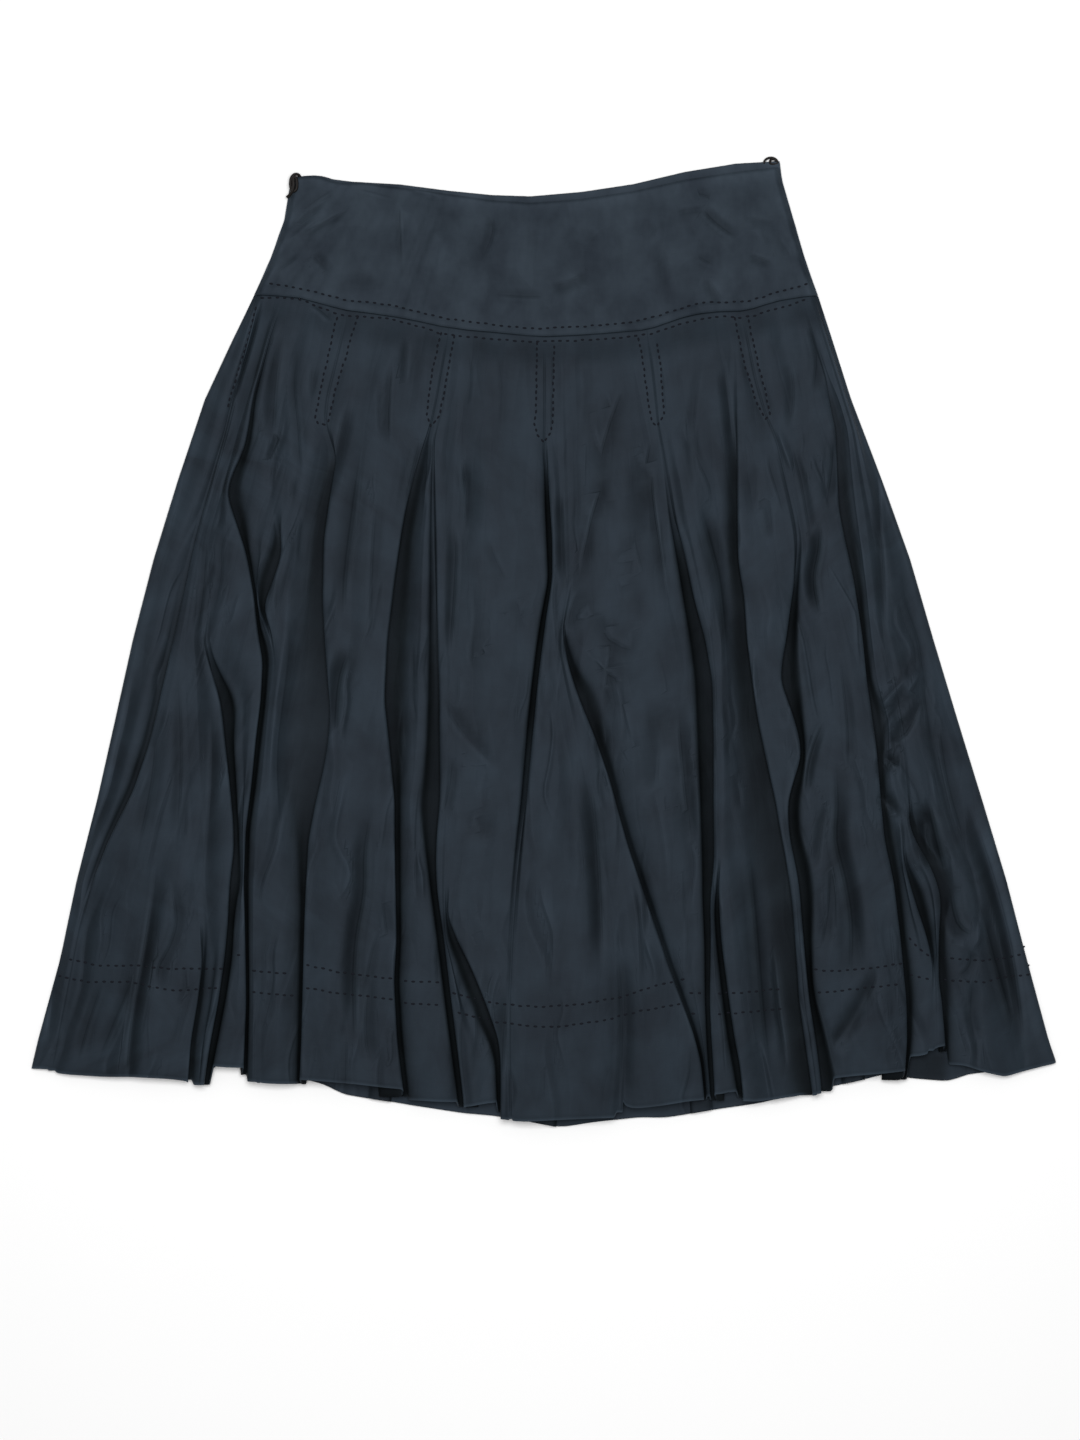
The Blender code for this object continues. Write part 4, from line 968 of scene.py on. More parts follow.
def addHemmedWall(piece, length):
    wall = addWall(piece, cloth["hemThickness"])
    wall.use_quality_normals = True
    wall.vertex_group = piece.vertex_groups.new(name="doubled cloth").name
    wall.thickness_vertex_group = cloth["thickness"] / cloth["hemThickness"]
    group = piece.vertex_groups[wall.vertex_group]
    levelsOf = {}
    for vertex, value in enumerate(readAttribute(piece, "alongCloth")):
        levelsOf.setdefault(round(value / mm, 2), []).append(vertex)
    for level, vertices in levelsOf.items():
        weight = float(smoothStep((level - length + cloth["hemTurned"]) / cloth["hemStep"]))
        if weight > 0:
            group.add(vertices, weight, "REPLACE")


def readAttribute(piece, key):
    values = np.zeros(len(piece.data.vertices), dtype=np.float32)
    piece.data.attributes[key].data.foreach_get("value", values)
    return values


def gridArea(xs, ys, zs):
    points = np.stack([xs, ys, zs], axis=2) * mm
    one, other = points[1:, :-1] - points[:-1, :-1], points[:-1, 1:] - points[:-1, :-1]
    return np.linalg.norm(np.cross(one, other), axis=2).sum()


def buildPanel(pleatTable, hems, rest, looks):
    pleats, sectionAt, hemY, seamY, spans = buildPanelGrid(
        pleatTable, hems, rest, looks["edgeFall"], looks["crestStep"])
    length = rowSteps["length"]
    parts = levels(length, looks["rowStep"])
    rows = []
    for part in parts:
        y = seamY * (1 - part) + hemY * part
        x, z, paintedShading, top = sectionAt(y, part)
        rows.append([splineRows(values) for values in (x, y, z, paintedShading, top)])
    xs, ys, zs, paintedShading, top = (np.array([row[k] for row in rows]) for k in range(5))
    step = np.hypot(np.diff(xs, axis=1), np.diff(zs, axis=1))
    developed = np.concatenate([np.zeros((len(parts), 1)), np.cumsum(step, axis=1)], axis=1)
    middle = np.argmin(np.abs(xs[len(parts) // 2]))
    developed = developed - developed[:, middle:middle + 1]
    down = np.repeat((parts * length)[:, None], xs.shape[1], axis=1)
    fromHem = length - down
    nearSeam = smoothStep(down / cloth["seamBlend"])
    zs = zs * nearSeam + rest(xs, ys, 0.0) * (1 - nearSeam)
    small = wrinkleRoutes()
    folds = looks["creaseGain"] * creased(xs, ys, looks["creases"], looks["ledges"], cloth["foldSpread"])
    fine = creased(xs, ys, small)
    zs = zs + top * nearSeam * (folds + wrinkles["height"] * fine + looks["ripple"] * ripples(xs, ys))
    zs = zs + creased(xs, ys, looks["grooves"])
    zs = zs - looks["seamDip"] * np.exp(-(down / cloth["seamWidth"]) ** 2)
    hemFall, hemReach = cloth["hemRound"]
    zs = zs - hemFall * smoothStep(1 - fromHem / hemReach)

    # painted shade along the creases and in the small wrinkles' troughs, and a painted highlight along the
    # wrinkles' ridges
    shade = -cloth["creaseShade"] * creased(xs, ys, looks["creases"], (), cloth["shadeSpread"])
    shade = np.maximum(shade, 0) - wrinkles["shade"] * fine
    inCrease = np.minimum(shade, cloth["mostCreaseShade"]) * top * nearSeam
    paintedShading = np.where(shade > 0, np.maximum(paintedShading, inCrease), paintedShading)
    # painted light along the side edges of the panel
    paintedShading = paintedShading - cloth["sidePaintedLight"] * smoothStep(1 - fromSide(xs, ys) / cloth["sideWidth"]) * nearSeam
    # a painted highlight along the rounded edge of the hem
    paintedShading = paintedShading - cloth["hemPaintedHighlight"] * smoothStep(1 - fromHem / cloth["rimWidth"]) * smoothStep(top * 2)
    acrossSoft, downSoft = cloth["shadowEdges"]
    for x0, x1, y0, amount in looks["shadows"]:
        inside = amount * smoothStep((xs - x0) / acrossSoft) * smoothStep((x1 - xs) / acrossSoft)
        paintedShading = np.maximum(paintedShading, inside * smoothStep((y0 - ys) / downSoft))
    creases = (*looks["creases"], *small, *looks["openings"])
    creaseSide, creaseDepth = creaseField(xs, ys, creases, wrinkles["crispSide"])
    attributes = {"clothPaintedShading": np.clip(paintedShading, -2, 1), "acrossFolds": flaredAcross(xs, ys) * mm,
                  "alongCloth": down * mm, "acrossCloth": developed * mm,
                  "creaseSide": creaseSide, "creaseDepth": creaseDepth * top}
    if looks["faceDown"]:
        zs = np.maximum(looks["top"] - zs, cloth["lowest"])
    names = [pleat.name for pleat in pleats]
    splits = [2 * (spans[names.index(name)].start + middleColumn) for name in looks["splits"]]
    cuts = [0, *splits, xs.shape[1] - 1]
    panels = []
    for name, first, last in zip(looks["names"], cuts, cuts[1:]):
        chosen = slice(first, last + 1)
        part = {key: values[:, chosen] for key, values in attributes.items()}
        place = (xs[:, chosen], ys[:, chosen], zs[:, chosen])
        panels.append(gridMesh(name, *place, part, looks["faceDown"]))
        addHemmedWall(panels[-1], length)
        print(name, "rows and columns", place[0].shape,
              "across the hem", round(float(developed[-1, last] - developed[-1, first])), "mm",
              "area", round(float(gridArea(*place)), 4))
    return panels, {"x": xs, "y": ys, "z": zs, "top": top}


print("materials")


def linear(hexColour):
    channels = [int(hexColour[i:i + 2], 16) / 255 for i in (1, 3, 5)]
    return [c / 12.92 if c <= .04045 else ((c + .055) / 1.055) ** 2.4 for c in channels] + [1.0]


def addNode(tree, kind, settings=None, links=None):
    node = tree.nodes.new(kind)
    for key, value in (settings or {}).items():
        if isinstance(key, int) or key in node.inputs:
            node.inputs[key].default_value = value
        else:
            setattr(node, key, value)
    for key, source in (links or {}).items():
        tree.links.new(source, node.inputs[key])
    return node


# the skirt's cloth: slate navy and nearly dull, a cool gleam on what faces the light, painted shade
# that makes it browner and darker down in the folds, painted shade and highlights along crisp creases
# and facets, and thicker threads that break up the even colour
clothFinish = {
    "dark": "#181d22",
    "light": "#212930",
    "shine": "#cfe3ff",
    "foldShadeTint": "#fff2df",
    "foldShadeLeft": 0.18,
    "facetWidth": 15.0,
    "facetLength": 62.0,
    "facetPaintedShade": .03,
    "facetHeight": .35,
    "facetWarp": (.012, .04, 0),
    "slubTone": .025,
    "slubWidth": 1.8,
    "slubLength": 11.0,
    "creasePaintedShading": .17,
    "creaseHeight": .18,
    "roughness": 0.5,
    "gloss": 0.115,
    "patchSize": 34.0,
    "patchStretch": 1.3,
    "threadSpacing": 0.8,
    "threadStretch": (7, 9),
    "threadHeight": 0.03,
}

# the yoke is smooth and a little paler, mottled where the others are streaked
yokeFinish = {**clothFinish, "dark": "#181e24", "light": "#283037", "patchSize": 26.0,
              "facetWidth": 24.0, "facetLength": 34.0, "facetPaintedShade": .04}


def clothMaterial(name, values):
    material = bpy.data.materials.new(name)
    material.use_nodes = True
    tree = material.node_tree
    tree.nodes.clear()
    output = addNode(tree, "ShaderNodeOutputMaterial")
    shader = addNode(tree, "ShaderNodeBsdfPrincipled", {
        "Roughness": values["roughness"], "Specular Tint": linear(values["shine"])})
    uv = addNode(tree, "ShaderNodeUVMap", {"uv_map": "clothUV"})

    along, acrossFolds, paintedShading, creaseSide, creaseDepth = (
        addNode(tree, "ShaderNodeAttribute", {"attribute_name": key}).outputs["Fac"]
        for key in ("alongCloth", "acrossFolds", "clothPaintedShading", "creaseSide", "creaseDepth"))
    folded = addNode(tree, "ShaderNodeCombineXYZ", links={"X": acrossFolds, "Y": along})

    def noise(width, length, detail, offset, place=uv.outputs["UV"]):
        scale = addNode(tree, "ShaderNodeMapping", {
            "Scale": (1 / (width * mm), 1 / (length * mm), 1.0), "Location": (offset, offset, 0)},
            {"Vector": place})
        return addNode(tree, "ShaderNodeTexNoise", {"Scale": 1.0, "Detail": detail, "Roughness": .55},
                       {"Vector": scale.outputs["Vector"]})

    # each noise has an offset of its own, so that no two of them show the same pattern
    patches = noise(values["patchSize"], values["patchSize"] * values["patchStretch"], 3.0, 11.9)
    warp, weft = values["threadStretch"]
    threadsAcross = noise(values["threadSpacing"], values["threadSpacing"] * warp, 1.0, 1.3)
    threadsAlong = noise(values["threadSpacing"] * weft, values["threadSpacing"], 1.0, 5.3)
    ranged = addNode(tree, "ShaderNodeMapRange", {"From Min": .3, "From Max": .7},
                     {"Value": patches.outputs["Fac"]})
    tone = addNode(tree, "ShaderNodeMix", {"data_type": "RGBA"}, {"Factor": ranged.outputs["Result"]})
    tone.inputs[6].default_value = linear(values["dark"])
    tone.inputs[7].default_value = linear(values["light"])

    def ramp(start, end, first, last):
        return addNode(tree, "ShaderNodeMapRange", {
            "interpolation_type": "SMOOTHSTEP",
            "From Min": start, "From Max": end, "To Min": first, "To Max": last},
            {"Value": creaseSide}).outputs["Result"]

    def around(source, amount, low, high):
        return addNode(tree, "ShaderNodeMapRange", {
            "From Min": low, "From Max": high, "To Min": 1 - amount, "To Max": 1 + amount},
            {"Value": source}).outputs["Result"]

    def maths(operation, first, second):
        node = addNode(tree, "ShaderNodeMath", {"operation": operation})
        for index, value in enumerate((first, second)):
            if isinstance(value, float):
                node.inputs[index].default_value = value
            else:
                tree.links.new(value, node.inputs[index])
        return node.outputs[0]

    # a crease, in half widths from its middle: painted shade in its bottom, sharp on one side with a
    # painted highlight on the rim beside it, and soft on the other
    trough = maths("MULTIPLY", ramp(-.4, 0, 0, 1), ramp(0, 2.4, 1, 0))
    rimHighlight = maths("MULTIPLY", ramp(-1.9, -.9, 0, .75), ramp(-.8, -.35, 1, 0))
    line = maths("MULTIPLY", maths("SUBTRACT", trough, rimHighlight), creaseDepth)
    total = maths("ADD", maths("MULTIPLY", line, values["creasePaintedShading"]), paintedShading)
    shade = addNode(tree, "ShaderNodeMapRange",
                    {"To Min": 1.0, "To Max": values["foldShadeLeft"], "clamp": False}, {"Value": total})
    sunk = addNode(tree, "ShaderNodeBump", {"Distance": -values["creaseHeight"] * mm, "Strength": 1.0},
                   {"Height": line})
    # facets with crisp sides, as cloth has that was folded and smoothed out again
    bent = noise(values["facetWidth"] * 2, values["facetLength"], 2.0, 21.3, folded.outputs[0])
    warped = addNode(tree, "ShaderNodeVectorMath", {"operation": "MULTIPLY_ADD", 1: values["facetWarp"]},
                     {0: bent.outputs["Color"], 2: folded.outputs[0]})
    sized = addNode(tree, "ShaderNodeMapping", {
        "Scale": (1 / (values["facetWidth"] * mm), 1 / (values["facetLength"] * mm), 1.0)},
        {"Vector": warped.outputs[0]})
    facets = addNode(tree, "ShaderNodeTexVoronoi", {"feature": "SMOOTH_F1", "Scale": 1.0, "Smoothness": .04},
                     {"Vector": sized.outputs["Vector"]})
    edges = addNode(tree, "ShaderNodeTexVoronoi", {"feature": "DISTANCE_TO_EDGE", "Scale": 1.0},
                    {"Vector": sized.outputs["Vector"]})
    cell = addNode(tree, "ShaderNodeSeparateColor", links={"Color": facets.outputs["Color"]})
    # each facet a little lighter or darker at random: painted shading standing in for how each facet's tilt
    # meets the light
    facetShade = around(cell.outputs["Red"], values["facetPaintedShade"], 0, 1)
    # thicker threads both ways, drawn coarser than they are so that they show from far off
    slubAlong = noise(values["slubWidth"], values["slubLength"], 1.0, 31.7)
    slubAcross = noise(values["slubLength"], values["slubWidth"], 1.0, 41.1)
    slubs = maths("ADD", slubAlong.outputs["Fac"], slubAcross.outputs["Fac"])
    # the thicker threads' own tone, times the facets' painted shading
    slubsAndFacetShade = maths("MULTIPLY", around(slubs, values["slubTone"], .6, 1.4), facetShade)
    shaded = maths("MULTIPLY", shade.outputs["Result"], slubsAndFacetShade)
    # painted shade: where the cloth is shaded it turns darker and browner
    shadeTinted = addNode(tree, "ShaderNodeMix", {"data_type": "RGBA", "blend_type": "MULTIPLY"},
                      {"Factor": paintedShading, 6: tone.outputs[2]})
    shadeTinted.inputs[7].default_value = linear(values["foldShadeTint"])
    darker = addNode(tree, "ShaderNodeVectorMath", {"operation": "SCALE"},
                     {0: shadeTinted.outputs[2], "Scale": shaded})
    tree.links.new(darker.outputs[0], shader.inputs["Base Color"])
    # the gloss dims with the same painted shade, facets and slubs
    tree.links.new(maths("MULTIPLY", shaded, values["gloss"]), shader.inputs["Specular IOR Level"])
    threads = maths("ADD", threadsAcross.outputs["Fac"], threadsAlong.outputs["Fac"])
    broad = addNode(tree, "ShaderNodeBump", {"Distance": values["facetHeight"] * mm, "Strength": 1.0},
                    {"Height": edges.outputs["Distance"], "Normal": sunk.outputs["Normal"]})
    second = addNode(tree, "ShaderNodeBump", {"Distance": values["threadHeight"] * mm, "Strength": 1.0},
                     {"Height": threads, "Normal": broad.outputs["Normal"]})
    tree.links.new(second.outputs["Normal"], shader.inputs["Normal"])
    tree.links.new(shader.outputs["BSDF"], output.inputs["Surface"])
    return material


def plainMaterial(name, hexColour, roughness, gloss=.5):
    material = bpy.data.materials.new(name)
    material.use_nodes = True
    shader = material.node_tree.nodes["Principled BSDF"]
    shader.inputs["Base Color"].default_value = linear(hexColour)
    shader.inputs["Roughness"].default_value = roughness
    shader.inputs["Specular IOR Level"].default_value = gloss
    return material


clothLook = clothMaterial("linen silk cloth, woven and washed", clothFinish)
yokeLook = clothMaterial("linen silk cloth, smooth over the hips", yokeFinish)

yokeCreases = (
    (-1.0, 3.5, (-181, 303), (-174, 296), (-168, 289)), (-.8, 2.0, (-113, 344), (-112, 318), (-110.6, 290)),
    (-.9, 4.0, (-46, 336), (-40, 321), (-50, 294)), (-.8, 3.0, (-40, 271.5), (-18, 270), (4, 269.4)),
    (-.9, 2.0, (-196, 315), (-174, 325), (-150, 338)), (-.7, 2.0, (-195, 324), (-184, 334), (-169, 344)),
    (-.6, 2.0, (-189, 335), (-178, 344), (-163, 354)), (.6, 3.0, (-204, 309), (-186, 322), (-172, 330)),
    (.6, 4.0, (-210, 284), (-200, 292), (-187, 301)), (-.6, 2.0, (-146, 354), (-130, 350), (-116, 346)),
    (-.6, 2.0, (-106, 352), (-92, 349), (-78, 344)), (-.5, 7.0, (-153, 291), (-140, 285), (-128, 281)),
    (-1.5, 3.5, (122, 340), (135, 327), (152, 314.5)), (-.7, 3.0, (102, 336), (114, 337), (128, 339)),
    (-1.0, 3.0, (160, 302), (170, 298), (179, 295)), (-.7, 3.0, (120, 301), (126, 298), (133, 294)),
    (-.9, 4.0, (126, 283), (132, 274), (138, 264)), (-1.0, 4.0, (2, 277.5), (20, 279.4), (37, 289)),
    (-.8, 3.0, (119, 350), (125, 349), (131, 347)), (-.5, 5.0, (92, 304), (95, 290), (97, 277)),
    (-.4, 4.0, (31, 326), (37, 318), (43, 311)), (.7, 5.0, (162, 324), (168, 317), (174, 309)),
    (-.5, 2.5, (155, 331), (168, 329), (181, 327)), (-.5, 2.5, (182, 317), (188, 308), (194, 298)),
    (.6, 7.0, (80, 335), (90, 322), (84, 308)), (.5, 8.0, (-90, 322), (-78, 310), (-84, 296)),
    (-.4, 6.0, (-14, 326), (-8, 312), (-12, 298)), (-.4, 6.0, (55, 322), (62, 306), (56, 292)),
)
yoke = {"thickness": .9, "edgeHeight": 1.7, "crown": 2.7, "backCrown": .4, "crownReach": 4.5,
        "edgeRound": .5, "edgeWidth": 1.4, "seamDip": .22, "seamWidth": 1.3, "backShare": .5,
        "band": .2, "bandWidth": 6.4, "bandEdges": (1.5, 2), "ripple": .35, "rippleOffset": 500,
        "backTop": .1, "sidePaintedLight": .4, "topPaintedLight": .3, "palerWidth": 14, "creaseGain": .9,
        "crispSide": (1, -1, -1), "rounds": 8}
# its grid: roughly how wide and deep it is, its top, and where columns and rows lie at its edges
yokeGrid = {"width": 420.0, "depth": 104.0, "top": 355, "step": 3.2, "upper": (0, .3, .8, 1.6, 3),
            "sides": (0, .3, .9, 1.8, 3, 4.5, 6.5, 9), "lower": (0, .5, 1.2, 2, 3.2, 4.8, 6.4, 7.4, 8.4, 10)}
yokeGrooves = ((-.28, 1.0, *overSeam),)


def spread(length, first, last, step):
    middle = np.linspace(first[-1], length - last[-1], int((length - last[-1] - first[-1]) / step) + 1)
    return np.concatenate([first[:-1], middle, [length - value for value in reversed(last[:-1])]]) / length


def buildYoke(name, topLine, creases, faceDown):
    width, depth, step = yokeGrid["width"], yokeGrid["depth"], yokeGrid["step"]
    across = spread(width, yokeGrid["sides"], yokeGrid["sides"], step)
    down = spread(depth, yokeGrid["upper"], yokeGrid["lower"], step)
    s, t = np.meshgrid(across, down)
    xs, ys = (s - .5) * width, yokeGrid["top"] - depth * t
    for _ in range(yoke["rounds"]):
        xs = readLine(sideSeams, ys, atLeft) * (1 - s) + readLine(sideSeams, ys, atRight) * s
        ys = readLine(topLine, xs) * (1 - t) + readLine(yokeSeam, xs) * t
    inward = fromSide(xs, ys)
    fromSeam = ys - readLine(yokeSeam, xs)
    fromTop = readLine(topLine, xs) - ys
    crown, share = (yoke["backCrown"], yoke["backShare"]) if faceDown else (yoke["crown"], 1)
    bandLow, bandHigh = yoke["bandEdges"]
    zs = yoke["edgeHeight"] + crown * smoothStep(inward / yoke["crownReach"])
    zs = zs - yoke["edgeRound"] * share * smoothStep(1 - fromTop / yoke["edgeWidth"])
    zs = zs - yoke["seamDip"] * share * np.exp(-(fromSeam / yoke["seamWidth"]) ** 2)
    zs = zs + (yoke["band"] * smoothStep(fromSeam / bandLow)
               * smoothStep((yoke["bandWidth"] + bandHigh - fromSeam) / bandHigh))
    zs = zs + creased(xs, ys, creases) + yoke["ripple"] * ripples(xs, ys + yoke["rippleOffset"])
    zs = zs + creased(xs, ys, yokeGrooves)
    if faceDown:
        zs = np.maximum(yoke["backTop"] + zs.max() - zs, cloth["lowest"])
    # painted shade in the yoke's creases, and painted light along its sides and its top edge
    shade = np.clip(-creased(xs, ys, creases), 0, 2) * cloth["creaseShade"]
    shade = shade - yoke["sidePaintedLight"] * smoothStep(1 - inward / yoke["palerWidth"])
    shade = shade - yoke["topPaintedLight"] * smoothStep(1 - fromTop / yoke["palerWidth"])
    creaseSide, creaseDepth = creaseField(xs, ys, creases, yoke["crispSide"])
    attributes = {"clothPaintedShading": shade, "acrossCloth": xs * mm, "acrossFolds": xs * mm,
                  "alongCloth": (yokeGrid["top"] - ys) * mm,
                  "creaseSide": creaseSide, "creaseDepth": yoke["creaseGain"] * creaseDepth}
    piece = gridMesh(name, xs, ys, zs, attributes, faceDown)
    addWall(piece, yoke["thickness"])
    return piece, {"x": xs, "y": ys, "z": zs}


thread = {"length": 3.1, "lengthSpread": (.85, 1.1), "width": 1.8, "height": 1.1, "seamPitch": 5.9,
          "boxPitch": 4.9, "hemPitch": 6.0, "pitchSpread": (.94, 1.06), "hemRows": (72.0, 88.5),
          "wobble": .4, "sag": 1.1, "sagWidth": 23, "onTop": .8, "closest": .05, "seed": 3,
          "pathStep": 1.5, "widestGap": 2.6, "castFrom": 60.0}


def surfaceTree(grid):
    xs, ys, zs = grid["x"], grid["y"], grid["z"]
    rows, columns = xs.shape
    points = np.stack([xs.ravel(), ys.ravel(), zs.ravel()], axis=1).tolist()
    faces = [(r * columns + c, r * columns + c + 1, (r + 1) * columns + c + 1, (r + 1) * columns + c)
             for r in range(rows - 1) for c in range(columns - 1)]
    return BVHTree.FromPolygons(points, faces)


def laidOn(tree, route, side):
    path = []
    for a, b in zip(route, route[1:]):
        count = max(2, int(math.dist(a, b) / thread["pathStep"]))
        for index in range(count):
            x = a[0] + (b[0] - a[0]) * index / count
            y = a[1] + (b[1] - a[1]) * index / count
            hit = tree.ray_cast(Vector((x, y, thread["castFrom"] * side)), Vector((0, 0, -side)))[0]
            if hit:
                path.append(hit)
    return path


def sewn(stitches, grain, path, pitch, side, random):
    passed, wanted = 0.0, pitch / 2
    for a, b in zip(path, path[1:]):
        length = (b - a).length
        if length > thread["widestGap"]:  # the row goes under a pleat here
            passed, wanted = 0.0, pitch / 2
            continue
        while length > 0 and passed + length >= wanted:
            centre = a.lerp(b, (wanted - passed) / length)
            direction = (b - a) / length
            up = Vector((0, 0, side)) - direction * direction.z * side
            up.normalize()
            across = direction.cross(up)
            centre += across * random.uniform(-1, 1) * thread["wobble"]
            size = random.uniform(*thread["lengthSpread"]) * thread["length"] / 2
            axes = np.array([across * thread["width"] / 2, up * thread["height"] / 2, direction * size])
            stitches.append((grain @ axes + np.array(centre)) * mm)
            wanted += pitch * random.uniform(*thread["pitchSpread"])
        passed += length


# the two rows of hem stitches on the front, in runs between the pleats
hemRows = (
    ((-371, -246.5), (-346, -251.9), (-318.6, -251.9), (-287.4, -254.3), (-249, -254.3)),
    ((-240, -243.4), (-230, -243.4)),
    ((-228, -255.6), (-194, -258.2)),
    ((-186, -251), (-178, -252.7), (-154.8, -257.4), (-115.8, -262.1)),
    ((-110, -263.6), (-80, -264.4)),
    ((-72, -272), (-60, -276), (-34, -281.6), (-2.7, -283.9), (28.5, -281.6), (59.7, -276.1),
     (83, -268.3), (110, -262)),
    ((112, -272.5), (124, -273.6)),
    ((134, -273.6), (149.4, -273), (188.4, -269.9)),
    ((209, -254.3), (223.5, -255.8), (246.9, -254.3), (280.4, -249.6)),
    ((283, -229), (291, -238), (301, -245)),
    ((310, -246), (317, -246.5), (344.4, -248), (360, -246), (378, -243)),
    ((-379.5, -259.7), (-357.6, -264.4), (-322.5, -264.4), (-287.4, -271.4), (-249, -268.3)),
    ((-228, -272), (-191.5, -275.3)),
    ((-186, -268.6), (-182, -269.1), (-154.8, -273.8), (-115.8, -277.7)),
    ((-110, -280.8), (-80, -282.4)),
    ((-68, -287), (-62, -289.5), (-36, -295.5), (-18.3, -298), (9, -299.5), (44, -294.8), (75.3, -287),
     (112, -280.5)),
    ((114, -289.2), (124, -289.6)),
    ((134, -289.2), (149.4, -288.6), (188.4, -285.5)),
    ((210, -272.8), (243, -269.9), (280.4, -265.2)),
    ((284, -259), (300, -262)),
    ((310, -263.2), (317, -263.6), (344.4, -265.2), (354.5, -262.1), (381, -259)),
)


def hemPaths(grid, distance):
    xs, ys, zs, top = grid["x"], grid["y"], grid["z"], grid["top"]
    paths, run = [], []
    for column in range(xs.shape[1]):
        wave = thread["sag"] * math.sin(xs[-1, column] / thread["sagWidth"] + distance)
        y = ys[-1, column] + distance + wave
        rising = ys[::-1, column]
        point = [float(np.interp(y, rising, values[::-1, column])) for values in (xs, zs, top)]
        if point[2] > thread["onTop"]:
            here = Vector((point[0], y, point[1]))
            if run and here.x < run[-1].x + thread["closest"]:
                continue
            run.append(here)
        elif run:
            paths.append(run)
            run = []
    return paths + [run]


def stitchPiece(name, rows, side):
    random = np.random.RandomState(thread["seed"])
    sphere = bmesh.new()
    bmesh.ops.create_uvsphere(sphere, u_segments=6, v_segments=5, radius=1.0)
    grain = np.array([vertex.co[:] for vertex in sphere.verts])
    faces = [[vertex.index for vertex in face.verts] for face in sphere.faces]
    sphere.free()
    stitches = []
    for path, pitch in rows:
        sewn(stitches, grain, path, pitch, side, random)
    mesh = bpy.data.meshes.new(name)
    every = [[index + count * len(grain) for index in face]
             for count in range(len(stitches)) for face in faces]
    mesh.from_pydata(np.concatenate(stitches).tolist(), [], every)
    mesh.polygons.foreach_set("use_smooth", [True] * len(every))
    print(name, len(stitches), "stitches")
    return addObject(name, mesh)


# hanger loops: a thin cord at each end of the waist
loops = {
    "loop_left": {
        "radius": 1.2,
        "route": (
            (-187.5, 350, 1.2), (-188.5, 358, 1.3), (-190.3, 363.4, 3.0), (-193.4, 364.2, 5.6),
            (-196.2, 361.6, 6.2), (-197, 357, 6.0), (-196.4, 352.6, 5.8), (-194.4, 351, 5.8),
            (-192.4, 353, 6.1), (-192, 357.6, 6.4), (-193, 361.4, 7.4), (-194.8, 361, 8.0),
            (-194.6, 356, 8.0), (-195.6, 351, 7.4), (-197.8, 348, 5.4), (-199.8, 346.4, 4.2))},
    "loop_right": {
        "radius": .95,
        "route": (
            (172, 373, 1.0), (172.6, 375.4, 1.6), (175.2, 377.2, 2.0), (178.6, 377.4, 2.1),
            (181.4, 376, 1.9), (182.4, 373.6, 1.3), (180, 372.8, 1.0), (177, 373, 1.1),
            (177, 375.6, 2.0), (179.4, 376.4, 3.0), (181.4, 374.8, 3.0))},
}
cordSides = 10


def cordMesh(name, route, radius, sides):
    path = [Vector(point) for point in smoothRoute(route)]
    tube = bmesh.new()
    rings = []
    up = Vector((0, 0, 1))
    for index, point in enumerate(path):
        before, after = path[max(index - 1, 0)], path[min(index + 1, len(path) - 1)]
        direction = (after - before).normalized()
        up = (up - direction * up.dot(direction)).normalized()
        across = direction.cross(up)
        ring = []
        for side in range(sides):
            angle = 2 * math.pi * side / sides
            outward = up * math.cos(angle) + across * math.sin(angle)
            ring.append(tube.verts.new((point + outward * radius) * mm))
        rings.append(ring)
    for one, other in zip(rings, rings[1:]):
        for side in range(sides):
            near = (side + 1) % sides
            tube.faces.new((one[side], one[near], other[near], other[side])).smooth = True
    tube.faces.new(list(reversed(rings[0])))
    tube.faces.new(rings[-1])
    bmesh.ops.recalc_face_normals(tube, faces=tube.faces)
    mesh = bpy.data.meshes.new(name)
    tube.to_mesh(mesh)
    tube.free()
    return addObject(name, mesh)


def backRest(x, y, part):
    return np.full(np.shape(x), cloth["backHeight"])


panels, front = buildPanel(frontPleats, frontHems, restHeight, frontLooks)
print("back panel")
backPanels, back = buildPanel(backPleats, backHem, backRest, backLooks)
print("yokes")
frontYoke, frontTop = buildYoke("front_yoke", yokeTopFront, yokeCreases, False)
backYoke, backTop = buildYoke("back_yoke", yokeTopBack, (), True)

print("stitches and loops")
frontTree, backTree = surfaceTree(front), surfaceTree(back)
overRoute = smoothRoute(overSeam, routing["steps"])
underRoute = smoothRoute(underSeam, routing["steps"])
rows = [(laidOn(frontTree, underRoute, 1), thread["seamPitch"]),
        (laidOn(frontTree, frontPlacket, 1), thread["boxPitch"])]
rows += [(laidOn(frontTree, box, 1), thread["boxPitch"]) for box in frontBoxes]
rows += [(laidOn(frontTree, run, 1), thread["hemPitch"]) for run in hemRows]
panelStitches = stitchPiece("front_panel_stitches", rows, 1)
rows = [(laidOn(surfaceTree(frontTop), overRoute, 1), thread["seamPitch"])]
yokeStitches = stitchPiece("front_yoke_stitches", rows, 1)
rows = [(laidOn(backTree, underRoute, -1), thread["seamPitch"])]
rows += [(laidOn(backTree, box, -1), thread["boxPitch"]) for box in backBoxes]
rows += [(path, thread["hemPitch"]) for distance in thread["hemRows"] for path in hemPaths(back, distance)]
backStitches = stitchPiece("back_panel_stitches", rows, -1)
rows = [(laidOn(surfaceTree(backTop), overRoute, -1), thread["seamPitch"])]
backYokeStitches = stitchPiece("back_yoke_stitches", rows, -1)
cords = [(cordMesh(node + "_cord", loop["route"], loop["radius"], cordSides), node)
         for node, loop in loops.items()]

# thread: nearly black and dull, so that each stitch is a small dark dash on the cloth
threadLook = plainMaterial("navy sewing thread", "#14161d", .8, .1)
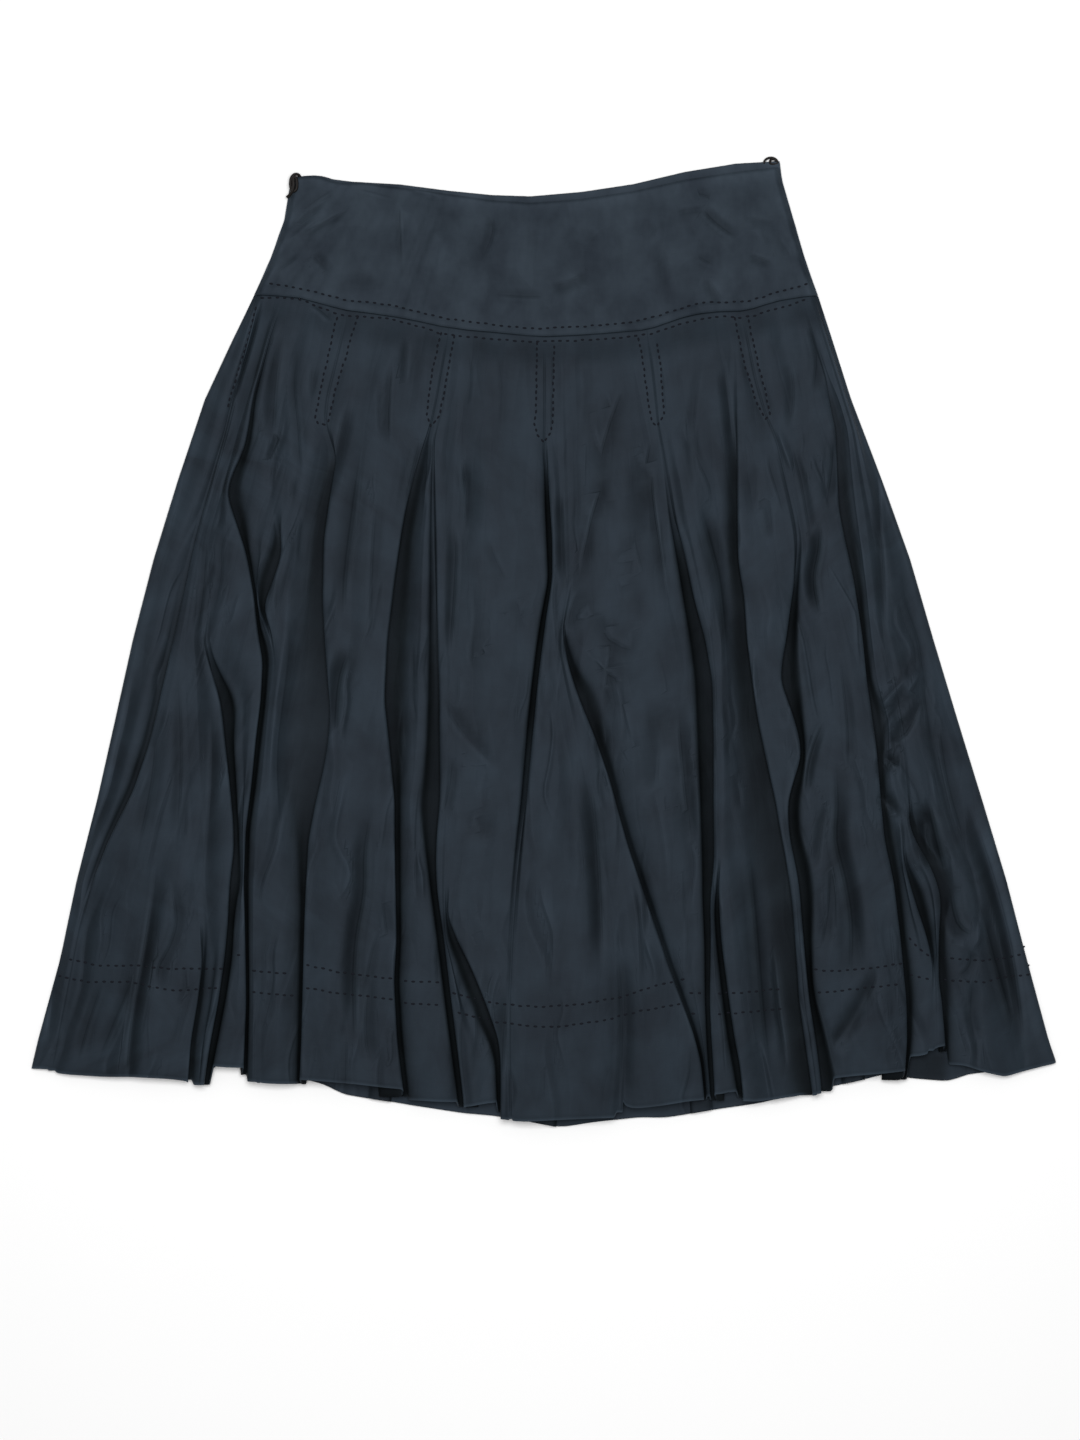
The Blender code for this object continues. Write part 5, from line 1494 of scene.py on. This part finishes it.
# cord: a warm dark brown with a soft shine, the one thing here that isn't blue
cordLook = plainMaterial("brown rayon cord", "#14100e", .55, .2)
for piece, node, slot, look in (
        *((panel, "skirt_front", "panel_cloth", clothLook) for panel in panels),
        (backPanels[0], "skirt_back", "panel_cloth", clothLook),
        (frontYoke, "yoke_front", "yoke_cloth", yokeLook),
        (backYoke, "yoke_back", "yoke_cloth", yokeLook),
        (panelStitches, None, "panel_cloth", threadLook), (backStitches, None, "panel_cloth", threadLook),
        (yokeStitches, None, "yoke_cloth", threadLook), (backYokeStitches, None, "yoke_cloth", threadLook),
        *((cord, node, "loop_cord", cordLook) for cord, node in cords)):
    piece.data.materials.append(look)
    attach(piece, "root")
    if node:
        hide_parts(node)

print("floor, light and camera")
paper = {"size": 9000.0, "level": -0.4}
plane = bmesh.new()
bmesh.ops.create_grid(plane, x_segments=1, y_segments=1, size=paper["size"] / 2 * mm)
floorMesh = bpy.data.meshes.new("floor")
plane.to_mesh(floorMesh)
plane.free()
floor = addObject("floor", floorMesh)
floor.location.z = paper["level"] * mm
# paper: white all over with no shine, so that only the skirt's soft shadow shows on it
floor.data.materials.append(plainMaterial("matt white paper", "#fdfdfd", .9))

# one broad softbox overhead, a little beyond the waist, and an evenly white room
light = {"place": (0.0, 270.0, 2600.0), "size": 1500.0, "power": 56.0, "room": 0.36}
lamp = bpy.data.lights.new("overhead softbox", "AREA")
lamp.shape = "SQUARE"
lamp.size = light["size"] * mm
lamp.energy = light["power"]
softbox = addObject("overhead softbox", lamp)
softbox.location = [value * mm for value in light["place"]]
aim = Vector([-value * mm for value in light["place"]])
softbox.rotation_euler = aim.to_track_quat("-Z", "Y").to_euler()
world = bpy.data.worlds.new("studio")
bpy.context.scene.world = world
world.use_nodes = True
world.node_tree.nodes["Background"].inputs["Color"].default_value = (1, 1, 1, 1)
world.node_tree.nodes["Background"].inputs["Strength"].default_value = light["room"]

# straight above, looking down
camera = {"place": (-2.7, -60.8, 3500.0), "imageHeight": 1123.2, "sensor": 36.0}
lens = bpy.data.cameras.new("camera")
lens.sensor_width = camera["sensor"]
lens.lens = camera["sensor"] * camera["place"][2] / camera["imageHeight"]
viewer = addObject("camera", lens)
viewer.location = [value * mm for value in camera["place"]]
bpy.context.scene.camera = viewer
bpy.context.scene.view_settings.view_transform = "Standard"
